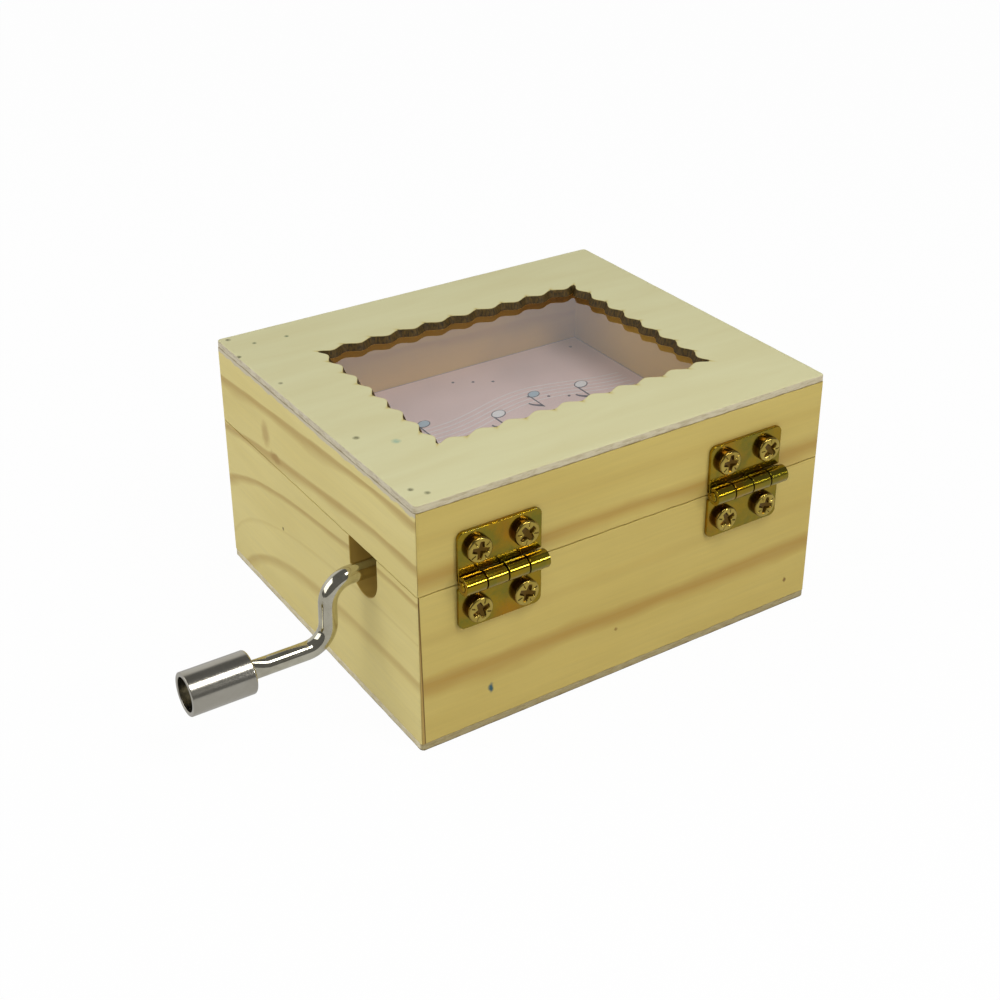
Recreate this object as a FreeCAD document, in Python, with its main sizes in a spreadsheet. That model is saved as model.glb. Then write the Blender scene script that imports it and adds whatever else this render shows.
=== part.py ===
# Hand-crank music box: a mitred pine case with a hinged shadow-box lid, and a comb movement inside.
# The origin is the centre of the underside; the crank side is +X and the hinges are at the back, +Y.
import FreeCAD
import Part
import Sketcher
import math
import os
import re
from FreeCAD import Placement, Rotation, Vector

# Driving sizes in millimetres (turns and teeth are counts), each with its meaning.
driving_sizes = {
    "box_length": (90.0, "case along X, from the far side to the crank side"),
    "box_width": (78.0, "case along Y, from front to back"),
    "panel_thick": (1.5, "plywood of the bottom and top panels"),
    "wall_thick": (8.0, "pine boards of the base and lid"),
    "base_wall_height": (30.7, "base boards"),
    "lid_gap": (0.2, "seam between base and lid"),
    "lid_rail_height": (16.1, "lid boards"),
    "corner_ease": (0.8, "flat taken off each upright corner"),
    "window_length": (61.8, "window along X, corner tip to corner tip"),
    "window_width": (45.2, "window along Y, corner tip to corner tip"),
    "scallops_long": (10, "scallops along each X side of the window"),
    "scallops_short": (8, "scallops along each Y side of the window"),
    "scallop_depth": (1.15, "scallops from cusp to crown"),
    "pane_thick": (1.5, "clear pane under the top panel"),
    "picture_board_thick": (0.6, "board that closes the lid underneath"),
    "card_thick": (0.2, "printed card on the picture board"),
    "crank_hinge_place": (28.9, "X of the hinge near the crank side"),
    "far_hinge_place": (-25.7, "X of the other hinge"),
    "hinge_axis_out": (2.0, "hinge axis behind the back face"),
    "hinge_axis_up": (0.7, "hinge axis above the middle of the seam"),
    "leaf_width": (17.0, "hinge leaf along its axis"),
    "leaf_reach": (9.7, "hinge leaf from the axis to its outer edge"),
    "leaf_thick": (0.8, "hinge leaf sheet"),
    "leaf_corner": (2.0, "rounding of the leaf's outer corners"),
    "leaf_notch": (1.6, "notches for the other leaf's knuckles, from the axis"),
    "knuckle_radius": (1.7, "outside of the hinge knuckles"),
    "knuckle_gap": (0.3, "gap between neighbouring knuckles"),
    "pin_radius": (0.9, "hinge pin"),
    "pin_proud": (0.3, "hinge pin past each end of its hinge"),
    "running_play": (0.05, "radial play of every shaft in its hole"),
    "end_play": (0.3, "gap beside each turning piece of the movement"),
    "screw_play": (0.2, "radial play of every screw in its hole"),
    "hinge_screw_side": (4.75, "hinge screws to each side of the hinge's middle"),
    "hinge_screw_rise": (6.0, "hinge screws above and below the hinge axis"),
    "hinge_screw_head": (2.5, "radius of the hinge screw heads"),
    "hinge_screw_head_height": (1.4, "hinge screw heads"),
    "hinge_screw_radius": (1.2, "hinge screw shank"),
    "hinge_screw_depth": (6.0, "hinge screw below its head"),
    "pilot_radius": (1.0, "pilot holes for the hinge screws"),
    "crank_side": (19.8, "Y of the crank shaft"),
    "crank_height": (27.7, "Z of the crank shaft"),
    "crank_throw": (12.75, "crank shaft to handle"),
    "rod_radius": (1.5, "crank rod"),
    "rod_inner_end": (1.6, "X where the crank rod starts inside"),
    "arm_start": (52.6, "X where shaft and arm would meet"),
    "arm_lean": (0.4, "outward lean of the arm over its length"),
    "bend_radius": (4.4, "middle line of the crank's bends"),
    "ear_start": (64.6, "X where the pinched ears start"),
    "ear_end": (67.7, "X where the pinched ears end"),
    "ear_reach": (2.05, "pinched ears above and below the handle's axis"),
    "ear_thick": (1.1, "thickness of the pinched ears"),
    "knob_start": (68.1, "X of the knob's inner end"),
    "knob_length": (12.0, "knob"),
    "knob_radius": (4.0, "knob"),
    "knob_cup_radius": (3.15, "open cup in the knob's outer end"),
    "knob_cup_depth": (4.6, "open cup in the knob's outer end"),
    "peen_radius": (2.2, "peened end of the rod in the knob's cup"),
    "notch_radius": (5.0, "notch for the crank in the side wall"),
    "notch_height": (27.5, "Z of the middle of the notch's round bottom"),
    "block_thick": (8.0, "pine block under the movement"),
    "block_length": (57.0, "block along X"),
    "block_width": (42.0, "block along Y"),
    "block_place": (4.5, "X of the block's middle"),
    "block_side": (9.0, "Y of the block's middle"),
    "plate_thick": (1.6, "bedplate"),
    "plate_length": (50.0, "bedplate along X"),
    "plate_width": (37.0, "bedplate along Y"),
    "plate_place": (5.0, "X of the bedplate's middle"),
    "plate_side": (9.5, "Y of the bedplate's middle"),
    "plate_corner": (3.0, "rounding of the bedplate's corners"),
    "post_thick": (3.0, "bearing posts of the bedplate"),
    "shaft_post_radius": (2.6, "arched head of the crank shaft's posts"),
    "shaft_post_start": (3.0, "X of the inner shaft post"),
    "shaft_post_step": (19.0, "from one shaft post to the other"),
    "arbor_post_radius": (2.8, "arched head of the arbor's posts"),
    "arbor_post_start": (-6.0, "Y of the front arbor post"),
    "arbor_post_step": (29.4, "from one arbor post to the other"),
    "drum_place": (14.0, "X of the drum's axis"),
    "drum_start": (-2.0, "Y of the drum's front end"),
    "drum_length": (19.6, "drum"),
    "drum_radius": (5.8, "drum without its pins"),
    "drum_bore": (5.1, "inside of the drum's tube"),
    "pin_height": (0.7, "pins above the drum"),
    "music_pin_half": (0.2, "half the width of a drum pin"),
    "cap_thick": (2.0, "end cap in the drum's front end"),
    "arbor_radius": (1.0, "arbor of the drum"),
    "tooth_module": (0.5, "module of worm and wheel"),
    "wheel_teeth": (26, "teeth of the wheel"),
    "wheel_thick": (2.4, "wheel"),
    "wheel_root": (5.9, "radius at the bottom of the wheel's teeth"),
    "wheel_tip": (6.95, "radius at the top of the wheel's teeth"),
    "wheel_root_width": (0.8, "tooth at its root"),
    "wheel_tip_width": (0.4, "tooth at its tip"),
    "worm_pitch_radius": (2.5, "pitch radius of the worm"),
    "worm_root": (1.9, "radius at the bottom of the worm's thread"),
    "worm_tip": (2.95, "radius at the top of the worm's thread"),
    "worm_root_width": (0.85, "thread at its root"),
    "worm_tip_width": (0.4, "thread at its tip"),
    "worm_turns": (4, "turns of the worm's thread"),
    "worm_hub": (2.3, "plain ends of the worm"),
    "comb_teeth": (18, "teeth of the comb"),
    "comb_pitch": (1.0, "from tooth to tooth"),
    "comb_tooth_width": (0.78, "comb tooth"),
    "comb_tooth_thick": (0.9, "comb tooth"),
    "comb_thick": (2.0, "clamped part of the comb"),
    "comb_start": (-1.2, "Y of the comb's front edge"),
    "comb_back": (-17.0, "X of the comb's back edge"),
    "comb_long_root": (-6.0, "X of the root of the longest tooth"),
    "comb_short_root": (-1.0, "X of the root of the shortest tooth"),
    "comb_tip_gap": (0.15, "comb tips to the circle of the pins"),
    "pedestal_front": (-8.2, "X where the comb's pedestal ends"),
    "small_screw_head": (2.2, "radius of the movement's screw heads"),
    "small_screw_head_height": (1.4, "movement screw heads"),
    "small_screw_radius": (1.1, "movement screw shank"),
    "small_screw_depth": (5.0, "movement screws below their heads"),
}

# Counts of flat sides that keep small, repeated round things light.
scallop_points = 6
hole_sides = 6
knuckle_bore_sides = 16
screw_head_sides = 12
shank_sides = 6
thread_steps = 12

document = FreeCAD.newDocument("HandCrankMusicBox")
sizes = document.addObject("Spreadsheet::Sheet", "Sizes")
for row, (alias, (value, meaning)) in enumerate(driving_sizes.items(), start=1):
    sizes.set(f"A{row}", meaning)
    sizes.set(f"B{row}", str(value))
    sizes.setAlias(f"B{row}", alias)
document.recompute()

# Levels and places that several pieces share, as formulas of the sheet.
base_rim = "(panel_thick + base_wall_height)"
lid_under = f"({base_rim} + lid_gap)"
lid_upper = f"({lid_under} + lid_rail_height)"
back_face = "(box_width / 2)"
hinge_depth = f"({back_face} + hinge_axis_out)"
hinge_height = f"({base_rim} + lid_gap / 2 + hinge_axis_up)"
inner_length = "(box_length - 2 * wall_thick)"
inner_width = "(box_width - 2 * wall_thick)"
knuckle_length = "((leaf_width - 3 * knuckle_gap) / 4)"
handle_height = "(crank_height - crank_throw)"
knob_web_end = "(knob_start + knob_length - knob_cup_depth)"
drum_height = "(crank_height - tooth_module * wheel_teeth / 2 - worm_pitch_radius)"
block_top = "(panel_thick + block_thick)"
plate_top = f"({block_top} + plate_thick)"
comb_tip = "(drum_place - drum_radius - pin_height - comb_tip_gap)"
comb_seat = f"({drum_height} + comb_tooth_thick / 2 - comb_thick)"
worm_lead = f"({math.pi} * tooth_module)"

pieces = []


def formula(text):
    # Put the sheet's name before each of its aliases.
    return re.sub(r"[a-z_]+", lambda word: f"Sizes.{word.group()}", text)


def size(text):
    return float(sizes.evalExpression(formula(text)))


def bind(item, formulas):
    for name, text in formulas.items():
        item.setExpression(name, formula(text))


def put(item, x="0", y="0", z="0", axis=Vector(0, 0, 1), turn=0.0):
    item.Placement = Placement(Vector(), Rotation(axis, turn))
    bind(item, {"Placement.Base.x": x, "Placement.Base.y": y, "Placement.Base.z": z})


def new_piece(kind, label):
    piece = document.addObject(kind, label)
    piece.Label = label
    pieces.append(piece)
    return piece


def new_body(label):
    return new_piece("PartDesign::Body", label)


def origin_feature(body, role):
    return next(feature for feature in body.Origin.OriginFeatures if feature.Role == role)


def sketch_on(body, plane, lift="0", rise="0", turn="0"):
    # A sketch on one of the body's own planes, lifted along its normal, raised and turned in it.
    sketch = body.newObject("Sketcher::SketchObject", "Sketch")
    sketch.AttachmentSupport = [(origin_feature(body, plane), "")]
    sketch.MapMode = "FlatFace"
    sketch.AttachmentOffset = Placement(Vector(), Rotation(Vector(0, 0, 1), size(turn)))
    bind(sketch, {"AttachmentOffset.Base.z": lift, "AttachmentOffset.Base.y": rise})
    return sketch


def tie_point(sketch, edge, end, across, up):
    for direction, text in (("DistanceX", across), ("DistanceY", up)):
        number = sketch.addConstraint(Sketcher.Constraint(direction, -1, 1, edge, end, size(text)))
        sketch.setExpression(f"Constraints[{number}]", formula(text))


def path_lines(sketch, corners, closed):
    # Straight edges from corner to corner, with every corner tied to the sheet.
    spots = [Vector(size(across), size(up), 0) for across, up in corners]
    ends = spots[1:] + spots[:1] if closed else spots[1:]
    first = sketch.GeometryCount
    for start, end in zip(spots, ends):
        sketch.addGeometry(Part.LineSegment(start, end))
    last = sketch.GeometryCount - 1
    for edge in range(first, last):
        sketch.addConstraint(Sketcher.Constraint("Coincident", edge, 2, edge + 1, 1))
    if closed:
        sketch.addConstraint(Sketcher.Constraint("Coincident", last, 2, first, 1))
    for number, (across, up) in enumerate(corners):
        if first + number <= last:
            tie_point(sketch, first + number, 1, across, up)
        else:
            tie_point(sketch, last, 2, across, up)
    return first, last


def polygon(sketch, corners):
    path_lines(sketch, corners, closed=True)


def rectangle(sketch, left, right, low, high):
    polygon(sketch, [(left, low), (right, low), (right, high), (left, high)])


def circle(sketch, across, up, radius):
    round_edge = Part.Circle(Vector(size(across), size(up), 0), Vector(0, 0, 1), size(radius))
    edge = sketch.addGeometry(round_edge)
    tie_point(sketch, edge, 3, across, up)
    number = sketch.addConstraint(Sketcher.Constraint("Radius", edge, size(radius)))
    sketch.setExpression(f"Constraints[{number}]", formula(radius))


def many_sided(sketch, across, up, radius, sides):
    # A regular polygon that stands for a small circle.
    corners = []
    for number in range(sides):
        angle = 2 * math.pi * number / sides
        corners.append((f"{across} + ({radius}) * {math.cos(angle):.6f}",
                        f"{up} + ({radius}) * {math.sin(angle):.6f}"))
    polygon(sketch, corners)


def screw_hole(sketch, across, up, shank):
    many_sided(sketch, across, up, f"{shank} + screw_play", hole_sides)


def arch(sketch, across, foot, crown, radius):
    # An upright with a round head: three straight sides, closed by a half circle.
    left, right = f"{across} - {radius}", f"{across} + {radius}"
    corners = [(right, crown), (right, foot), (left, foot), (left, crown)]
    first, last = path_lines(sketch, corners, closed=False)
    middle = Vector(size(across), size(crown), 0)
    head = Part.ArcOfCircle(Part.Circle(middle, Vector(0, 0, 1), size(radius)), 0, math.pi)
    edge = sketch.addGeometry(head)
    sketch.addConstraint(Sketcher.Constraint("Coincident", edge, 1, first, 1))
    sketch.addConstraint(Sketcher.Constraint("Coincident", edge, 2, last, 2))


def pad(body, sketch, length, back=False, both_ways=False):
    feature = body.newObject("PartDesign::Pad", "Pad")
    feature.Profile = sketch
    feature.Reversed = back
    feature.SideType = "Symmetric" if both_ways else "One side"
    bind(feature, {"Length": length})
    return feature


def pocket(body, sketch, depth):
    # Cuts against the sketch's normal, and makes sure that it did cut.
    document.recompute()
    before = body.Shape.Volume
    feature = body.newObject("PartDesign::Pocket", "Pocket")
    feature.Profile = sketch
    bind(feature, {"Length": depth})
    document.recompute()
    if body.Shape.Volume > before - 1e-3:
        raise RuntimeError(f"a pocket of {body.Label} cuts nothing")
    return feature


def revolve(body, sketch, axis):
    feature = body.newObject("PartDesign::Revolution", "Revolution")
    feature.Profile = sketch
    feature.ReferenceAxis = (sketch, [axis])
    feature.Angle = 360.0
    return feature


def repeat_along(body, feature, axis, step, back=False):
    # A second one of the feature, one step along the axis.
    pattern = body.newObject("PartDesign::LinearPattern", "LinearPattern")
    pattern.Originals = [feature]
    pattern.Direction = (origin_feature(body, axis), [""])
    pattern.Reversed = back
    pattern.Occurrences = 2
    bind(pattern, {"Length": step})
    body.Tip = pattern
    return pattern


def round_edges(body, spots, radius):
    # Fillets the edges whose middles are at the given spots.
    document.recompute()
    last_feature = body.Tip
    names = []
    for number, edge in enumerate(body.Shape.Edges, start=1):
        middle = edge.CenterOfMass
        if any(middle.distanceToPoint(spot) < 1e-3 for spot in spots):
            names.append(f"Edge{number}")
    if len(names) != len(spots):
        raise RuntimeError(f"{body.Label}: {len(names)} edges found to round, not {len(spots)}")
    fillet = body.newObject("PartDesign::Fillet", "Fillet")
    fillet.Base = (last_feature, names)
    bind(fillet, {"Radius": radius})


def slab(label, length, width, height, bottom, x="0", y="0"):
    box = new_piece("Part::Box", label)
    bind(box, {"Length": length, "Width": width, "Height": height})
    put(box, f"{x} - {length} / 2", f"{y} - {width} / 2", bottom)
    return box


# The case

def mitred_board(label, run, height, bottom, x, y, turn):
    # A board lying along X with its outer face on Y = 0, mitred at both ends, then turned into place.
    board = new_body(label)
    outline = sketch_on(board, "XY_Plane")
    polygon(outline, [
        (f"-{run} / 2 + corner_ease", "0"),
        (f"{run} / 2 - corner_ease", "0"),
        (f"{run} / 2 - corner_ease / 2", "corner_ease / 2"),
        (f"{run} / 2 - wall_thick", "wall_thick"),
        (f"-{run} / 2 + wall_thick", "wall_thick"),
        (f"-{run} / 2 + corner_ease / 2", "corner_ease / 2"),
    ])
    pad(board, outline, height)
    put(board, x, y, bottom, turn=turn)
    return board


def board_frame(prefix, kind, height, bottom):
    sides = (
        ("front", "box_length", "0", "-box_width / 2", 0),
        ("crank", "box_width", "box_length / 2", "0", 90),
        ("back", "box_length", "0", back_face, 180),
        ("left", "box_width", "-box_length / 2", "0", 270),
    )
    boards = {}
    for side, run, x, y, turn in sides:
        boards[side] = mitred_board(f"{prefix}_{side}_{kind}", run, height, bottom, x, y, turn)
    return boards


def crank_notch(wall):
    # Drilled through, then sawn open to the rim.
    middle = "notch_height - panel_thick"
    drilled = sketch_on(wall, "XZ_Plane")
    circle(drilled, "crank_side", middle, "notch_radius")
    pocket(wall, drilled, "wall_thick")
    sawn = sketch_on(wall, "XZ_Plane")
    rectangle(sawn, "crank_side - notch_radius", "crank_side + notch_radius", middle, "base_wall_height")
    pocket(wall, sawn, "wall_thick")


def pilot_holes(board, rise):
    # Seen from behind, the board's own X runs towards the far side.
    holes = sketch_on(board, "XZ_Plane")
    for place in ("crank_hinge_place", "far_hinge_place"):
        for sign in "-+":
            many_sided(holes, f"-{place} {sign} hinge_screw_side", rise, "pilot_radius", shank_sides)
    pocket(board, holes, "hinge_screw_depth")


def panel_outline(sketch):
    length, width = "box_length / 2", "box_width / 2"
    corners = []
    for x_sign, y_sign in (("", "-"), ("", ""), ("-", ""), ("-", "-")):
        x_ease = "+" if x_sign else "-"
        y_ease = "+" if y_sign else "-"
        on_x_side = (f"{x_sign}{length}", f"{y_sign}{width} {y_ease} corner_ease")
        on_y_side = (f"{x_sign}{length} {x_ease} corner_ease", f"{y_sign}{width}")
        corners += [on_y_side, on_x_side] if (x_sign == "") == (y_sign == "-") else [on_x_side, on_y_side]
    polygon(sketch, corners)


def plywood_panel(label, bottom):
    panel = new_body(label)
    outline = sketch_on(panel, "XY_Plane", lift=bottom)
    panel_outline(outline)
    pad(panel, outline, "panel_thick")
    return panel


def scalloped_side(sketch, start, along, inward, length, scallops, depth):
    # Round lobes of half a sine wave that swell into the window, with a sharp cusp between neighbours.
    spots = []
    for number in range(scallops * scallop_points + 1):
        phase = number / scallop_points
        swell = depth * abs(math.sin(math.pi * phase))
        spots.append(start + along * (phase * length / scallops) + inward * swell)
    for begin, end in zip(spots, spots[1:]):
        sketch.addGeometry(Part.LineSegment(begin, end))


def scalloped_window(panel):
    length, width = size("window_length"), size("window_width")
    corner = Vector(length / 2, width / 2, 0)
    x, y = Vector(1, 0, 0), Vector(0, 1, 0)
    cut = sketch_on(panel, "XY_Plane", lift=f"{lid_upper} + panel_thick")
    sides = (
        (Vector(-corner.x, -corner.y, 0), x, y, length, "scallops_long"),
        (Vector(corner.x, -corner.y, 0), y, -x, width, "scallops_short"),
        (corner, -x, -y, length, "scallops_long"),
        (Vector(-corner.x, corner.y, 0), -y, x, width, "scallops_short"),
    )
    for start, along, inward, run, scallops in sides:
        scalloped_side(cut, start, along, inward, run, int(size(scallops)), size("scallop_depth"))
    pocket(panel, cut, "panel_thick")


def make_case():
    plywood_panel("base_bottom_panel", "0")
    walls = board_frame("base", "wall", "base_wall_height", "panel_thick")
    crank_notch(walls["crank"])
    pilot_holes(walls["back"], f"{hinge_height} - hinge_screw_rise - panel_thick")
    rails = board_frame("lid", "rail", "lid_rail_height", lid_under)
    pilot_holes(rails["back"], f"{hinge_height} + hinge_screw_rise - {lid_under}")
    scalloped_window(plywood_panel("lid_top_panel", lid_upper))
    slab("window_pane", inner_length, inner_width, "pane_thick", f"{lid_upper} - pane_thick")
    slab("picture_board", inner_length, inner_width, "picture_board_thick", lid_under)
    slab("picture_card", inner_length, inner_width, "card_thick", f"{lid_under} + picture_board_thick")


# Screws

def screw_pattern(name, head, head_height, radius, depth):
    # One pan-head screw, with its head standing on Z = 0: an upright rim, a sloping crown and a plain shank.
    crown_slope = 0.32
    screw = document.addObject("PartDesign::Body", name)
    rim = sketch_on(screw, "XY_Plane")
    many_sided(rim, "0", "0", head, screw_head_sides)
    blank = pad(screw, rim, head_height)
    document.recompute()
    heights = [face.CenterOfMass.z for face in screw.Shape.Faces]
    top_face = f"Face{heights.index(max(heights)) + 1}"
    crown = screw.newObject("PartDesign::Chamfer", "Chamfer")
    crown.Base = (blank, [top_face])
    bind(crown, {"Size": f"{head} * {crown_slope}"})
    shank = sketch_on(screw, "XY_Plane")
    many_sided(shank, "0", "0", radius, shank_sides)
    pad(screw, shank, depth, back=True)
    return screw


def screw_group(label, pattern, spots, rotation):
    # Copies of one screw, each driven to a different turn.
    turn_step = 37.0
    copies = []
    for number, spot in enumerate(spots):
        copy = pattern.Shape.copy()
        copy.Placement = Placement(spot, rotation * Rotation(Vector(0, 0, 1), number * turn_step))
        copies.append(copy)
    group = new_piece("Part::Feature", label)
    group.Shape = Part.makeCompound(copies)


# Hinges

def hinge_leaf(label, place, turn):
    # X runs along the hinge axis and Z up the leaf. The other leaf is the same piece, turned over about Y.
    leaf = new_body(label)
    step = f"({knuckle_length} + knuckle_gap)"
    half = "leaf_width / 2"
    first_edge = f"{half} - {knuckle_length}"
    outline = sketch_on(leaf, "XZ_Plane", lift="hinge_axis_out")
    polygon(outline, [
        (half, "0"), (half, "leaf_reach"), (f"-{half}", "leaf_reach"), (f"-{half}", "leaf_notch"),
        (f"{first_edge} - 2 * {step}", "leaf_notch"), (f"{first_edge} - 2 * {step}", "0"),
        (f"{half} - 2 * {step}", "0"), (f"{half} - 2 * {step}", "leaf_notch"),
        (first_edge, "leaf_notch"), (first_edge, "0"),
    ])
    for sign in "-+":
        screw_hole(outline, f"{sign}hinge_screw_side", "hinge_screw_rise", "hinge_screw_radius")
    pad(leaf, outline, "leaf_thick", back=True)
    sheet_middle = -size("hinge_axis_out - leaf_thick / 2")
    corner_spots = [Vector(sign * size(half), sheet_middle, size("leaf_reach")) for sign in (-1, 1)]
    round_edges(leaf, corner_spots, "leaf_corner")
    ring = sketch_on(leaf, "YZ_Plane", lift=first_edge)
    circle(ring, "0", "0", "knuckle_radius")
    many_sided(ring, "0", "0", "pin_radius + 2 * running_play", knuckle_bore_sides)
    knuckle = pad(leaf, ring, knuckle_length)
    repeat_along(leaf, knuckle, "X_Axis", f"2 * {step}", back=True)
    put(leaf, place, hinge_depth, hinge_height, axis=Vector(0, 1, 0), turn=turn)


def hinge_pin(label, place):
    pin = new_piece("Part::Cylinder", label)
    length = "(leaf_width + 2 * pin_proud)"
    bind(pin, {"Radius": "pin_radius", "Height": length})
    put(pin, f"{place} - {length} / 2", hinge_depth, hinge_height, axis=Vector(0, 1, 0), turn=90)


def make_hinges():
    screw = screw_pattern("HingeScrew", "hinge_screw_head", "hinge_screw_head_height", "hinge_screw_radius",
                          "(leaf_thick + hinge_screw_depth)")
    document.recompute()
    places = {"crank_side": "crank_hinge_place", "far": "far_hinge_place"}
    for name, place in places.items():
        hinge_leaf(f"{name}_hinge_lid_leaf", place, 0)
        hinge_leaf(f"{name}_hinge_base_leaf", place, 180)
        hinge_pin(f"{name}_hinge_pin", place)
    head_seat = size(f"{back_face} + leaf_thick")
    outward = Rotation(Vector(1, 0, 0), -90)
    for owner, sign in (("lid", "+"), ("base", "-")):
        height = size(f"{hinge_height} {sign} hinge_screw_rise")
        spots = [Vector(size(f"{place} {side} hinge_screw_side"), head_seat, height)
                 for place in places.values() for side in "+-"]
        screw_group(f"{owner}_hinge_screws", screw, spots, outward)


# Crank

def bent_path(sketch, corners, radius):
    # Straight runs joined by tangent arcs of one radius.
    start = corners[0]
    for before, corner, after in zip(corners, corners[1:], corners[2:]):
        coming = (corner - before).normalize()
        going = (after - corner).normalize()
        half_turn = coming.getAngle(going) / 2
        reach = radius * math.tan(half_turn)
        inward = (going - coming).normalize()
        middle = corner + inward * (radius / math.cos(half_turn) - radius)
        arc_start, arc_end = corner - coming * reach, corner + going * reach
        sketch.addGeometry(Part.LineSegment(start, arc_start))
        sketch.addGeometry(Part.ArcOfCircle(arc_start, middle, arc_end))
        start = arc_end
    sketch.addGeometry(Part.LineSegment(start, corners[-1]))


def make_crank_rod():
    rod = new_body("crank_rod")
    rod_end = f"{knob_web_end} + 4 * running_play"
    ear_root, peen_height = "rod_radius * 0.8", "peen_radius / 2"
    section = sketch_on(rod, "YZ_Plane", lift="rod_inner_end")
    circle(section, "0", "0", "rod_radius")
    route = sketch_on(rod, "XZ_Plane")
    bent_path(route, [
        Vector(size("rod_inner_end"), 0, 0),
        Vector(size("arm_start"), 0, 0),
        Vector(size("arm_start + arm_lean"), -size("crank_throw"), 0),
        Vector(size(rod_end), -size("crank_throw"), 0),
    ], size("bend_radius"))
    document.recompute()
    pipe = rod.newObject("PartDesign::AdditivePipe", "AdditivePipe")
    pipe.Profile = section
    pipe.Spine = (route, [f"Edge{number + 1}" for number in range(route.GeometryCount)])
    ears = sketch_on(rod, "XZ_Plane", rise="-crank_throw")
    polygon(ears, [("ear_start", f"-{ear_root}"), ("ear_end", "-ear_reach"),
                   ("ear_end", "ear_reach"), ("ear_start", ear_root)])
    pad(rod, ears, "ear_thick", both_ways=True)
    peen = sketch_on(rod, "XZ_Plane", rise="-crank_throw")
    polygon(peen, [(rod_end, "0"), (rod_end, "peen_radius"), (f"{rod_end} + {peen_height}", "0")])
    revolve(rod, peen, "H_Axis")
    put(rod, "0", "crank_side", "crank_height")


def make_knob():
    knob = new_body("crank_knob")
    bore, edge = "rod_radius + running_play", "knob_radius * 0.1"
    end = "knob_start + knob_length"
    profile = sketch_on(knob, "XZ_Plane")
    polygon(profile, [
        ("knob_start", bore), ("knob_start", f"knob_radius - {edge}"),
        (f"knob_start + {edge}", "knob_radius"), (f"{end} - {edge} / 2", "knob_radius"),
        (end, f"knob_radius - {edge} / 2"), (end, "knob_cup_radius"),
        (knob_web_end, "knob_cup_radius"), (knob_web_end, bore),
    ])
    revolve(knob, profile, "H_Axis")
    put(knob, "0", "crank_side", handle_height)


# Movement

def ring_spots(radius, sides, along=0.0):
    # Corners of a regular polygon round the X axis, the first straight above it.
    angles = [2 * math.pi * number / sides for number in range(sides)]
    return [Vector(along, -radius * math.sin(angle), radius * math.cos(angle)) for angle in angles]


def flat_face(spots):
    return Part.Face(Part.makePolygon(spots + spots[:1]))


def faceted_sweep(sections):
    # A solid through a row of like polygons, skinned with flat triangles and closed by the two end polygons.
    faces = [flat_face(sections[0]), flat_face(sections[-1])]
    for near, far in zip(sections, sections[1:]):
        for corner in range(len(near)):
            after = (corner + 1) % len(near)
            faces.append(flat_face([near[corner], near[after], far[corner]]))
            faces.append(flat_face([near[after], far[after], far[corner]]))
    solid = Part.Solid(Part.Shell(faces))
    if solid.Volume < 0:
        solid.reverse()
    return solid


def worm_thread(lead, turns):
    # A right-hand thread that stands straight up at the middle, so that a gap faces the wheel below.
    foot, tip = size("(worm_root + rod_radius) / 2"), size("worm_tip")
    root_half, tip_half = size("worm_root_width / 2"), size("worm_tip_width / 2")
    tooth = [(-root_half, foot), (root_half, foot), (tip_half, tip), (-tip_half, tip)]
    sections = []
    for step in range(turns * thread_steps + 1):
        shift = lead * (step / thread_steps - turns / 2)
        angle = 2 * math.pi * shift / lead
        outward = Vector(0, -math.sin(angle), math.cos(angle))
        sections.append([Vector(shift + along, 0, 0) + outward * radius for along, radius in tooth])
    return faceted_sweep(sections)


def make_worm():
    # A bored sleeve with a plain hub at each end and the thread between.
    lead, turns = size(worm_lead), int(size("worm_turns"))
    left = size("shaft_post_start + post_thick + end_play - drum_place")
    right = size("shaft_post_start + shaft_post_step - end_play - drum_place")
    hub_end = lead * turns / 2 + size("worm_root_width")
    sleeve = []
    for radius, begin, end in (("worm_root", -hub_end, hub_end), ("worm_hub", left, -hub_end),
                               ("worm_hub", hub_end, right)):
        section = flat_face(ring_spots(size(radius), thread_steps, begin))
        sleeve.append(section.extrude(Vector(end - begin, 0, 0)))
    solid = sleeve[0].multiFuse(sleeve[1:] + [worm_thread(lead, turns)])
    bore = Part.makeCylinder(size("rod_radius"), right - left, Vector(left, 0, 0), Vector(1, 0, 0))
    worm = new_piece("Part::Feature", "worm")
    worm.Shape = solid.cut(bore)
    put(worm, "drum_place", "crank_side", "crank_height")


def make_wheel():
    # Helical teeth, lofted from face to face and carried round the rim.
    wheel = new_body("cylinder_wheel")
    half = "wheel_thick / 2"
    drum_end = "(drum_start + drum_length - crank_side)"
    blank = sketch_on(wheel, "YZ_Plane")
    polygon(blank, [
        (f"{drum_end} - cap_thick", "arbor_radius"), (half, "arbor_radius"),
        (half, "wheel_root"), (f"-{half}", "wheel_root"),
        (f"-{half}", "drum_bore"), (f"{drum_end} - cap_thick", "drum_bore"),
    ])
    revolve(wheel, blank, "H_Axis")
    lean = "{0} * wheel_thick / worm_pitch_radius / wheel_teeth / 2".format(math.degrees(1.0))
    foot = "wheel_root - wheel_root_width / 2"
    faces = []
    for lift, turn in ((f"-{half}", f"-{lean}"), (half, lean)):
        face = sketch_on(wheel, "XZ_Plane", lift=lift, turn=turn)
        polygon(face, [("-wheel_root_width / 2", foot), ("wheel_root_width / 2", foot),
                       ("wheel_tip_width / 2", "wheel_tip"), ("-wheel_tip_width / 2", "wheel_tip")])
        faces.append(face)
    tooth = wheel.newObject("PartDesign::AdditiveLoft", "AdditiveLoft")
    tooth.Profile = faces[0]
    tooth.Sections = [faces[1]]
    tooth.Ruled = True
    document.recompute()
    rim = wheel.newObject("PartDesign::PolarPattern", "PolarPattern")
    rim.Originals = [tooth]
    rim.Axis = (origin_feature(wheel, "Y_Axis"), [""])
    rim.Angle = 360.0
    bind(rim, {"Occurrences": "wheel_teeth"})
    wheel.Tip = rim
    put(wheel, "drum_place", "crank_side", drum_height)


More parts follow.
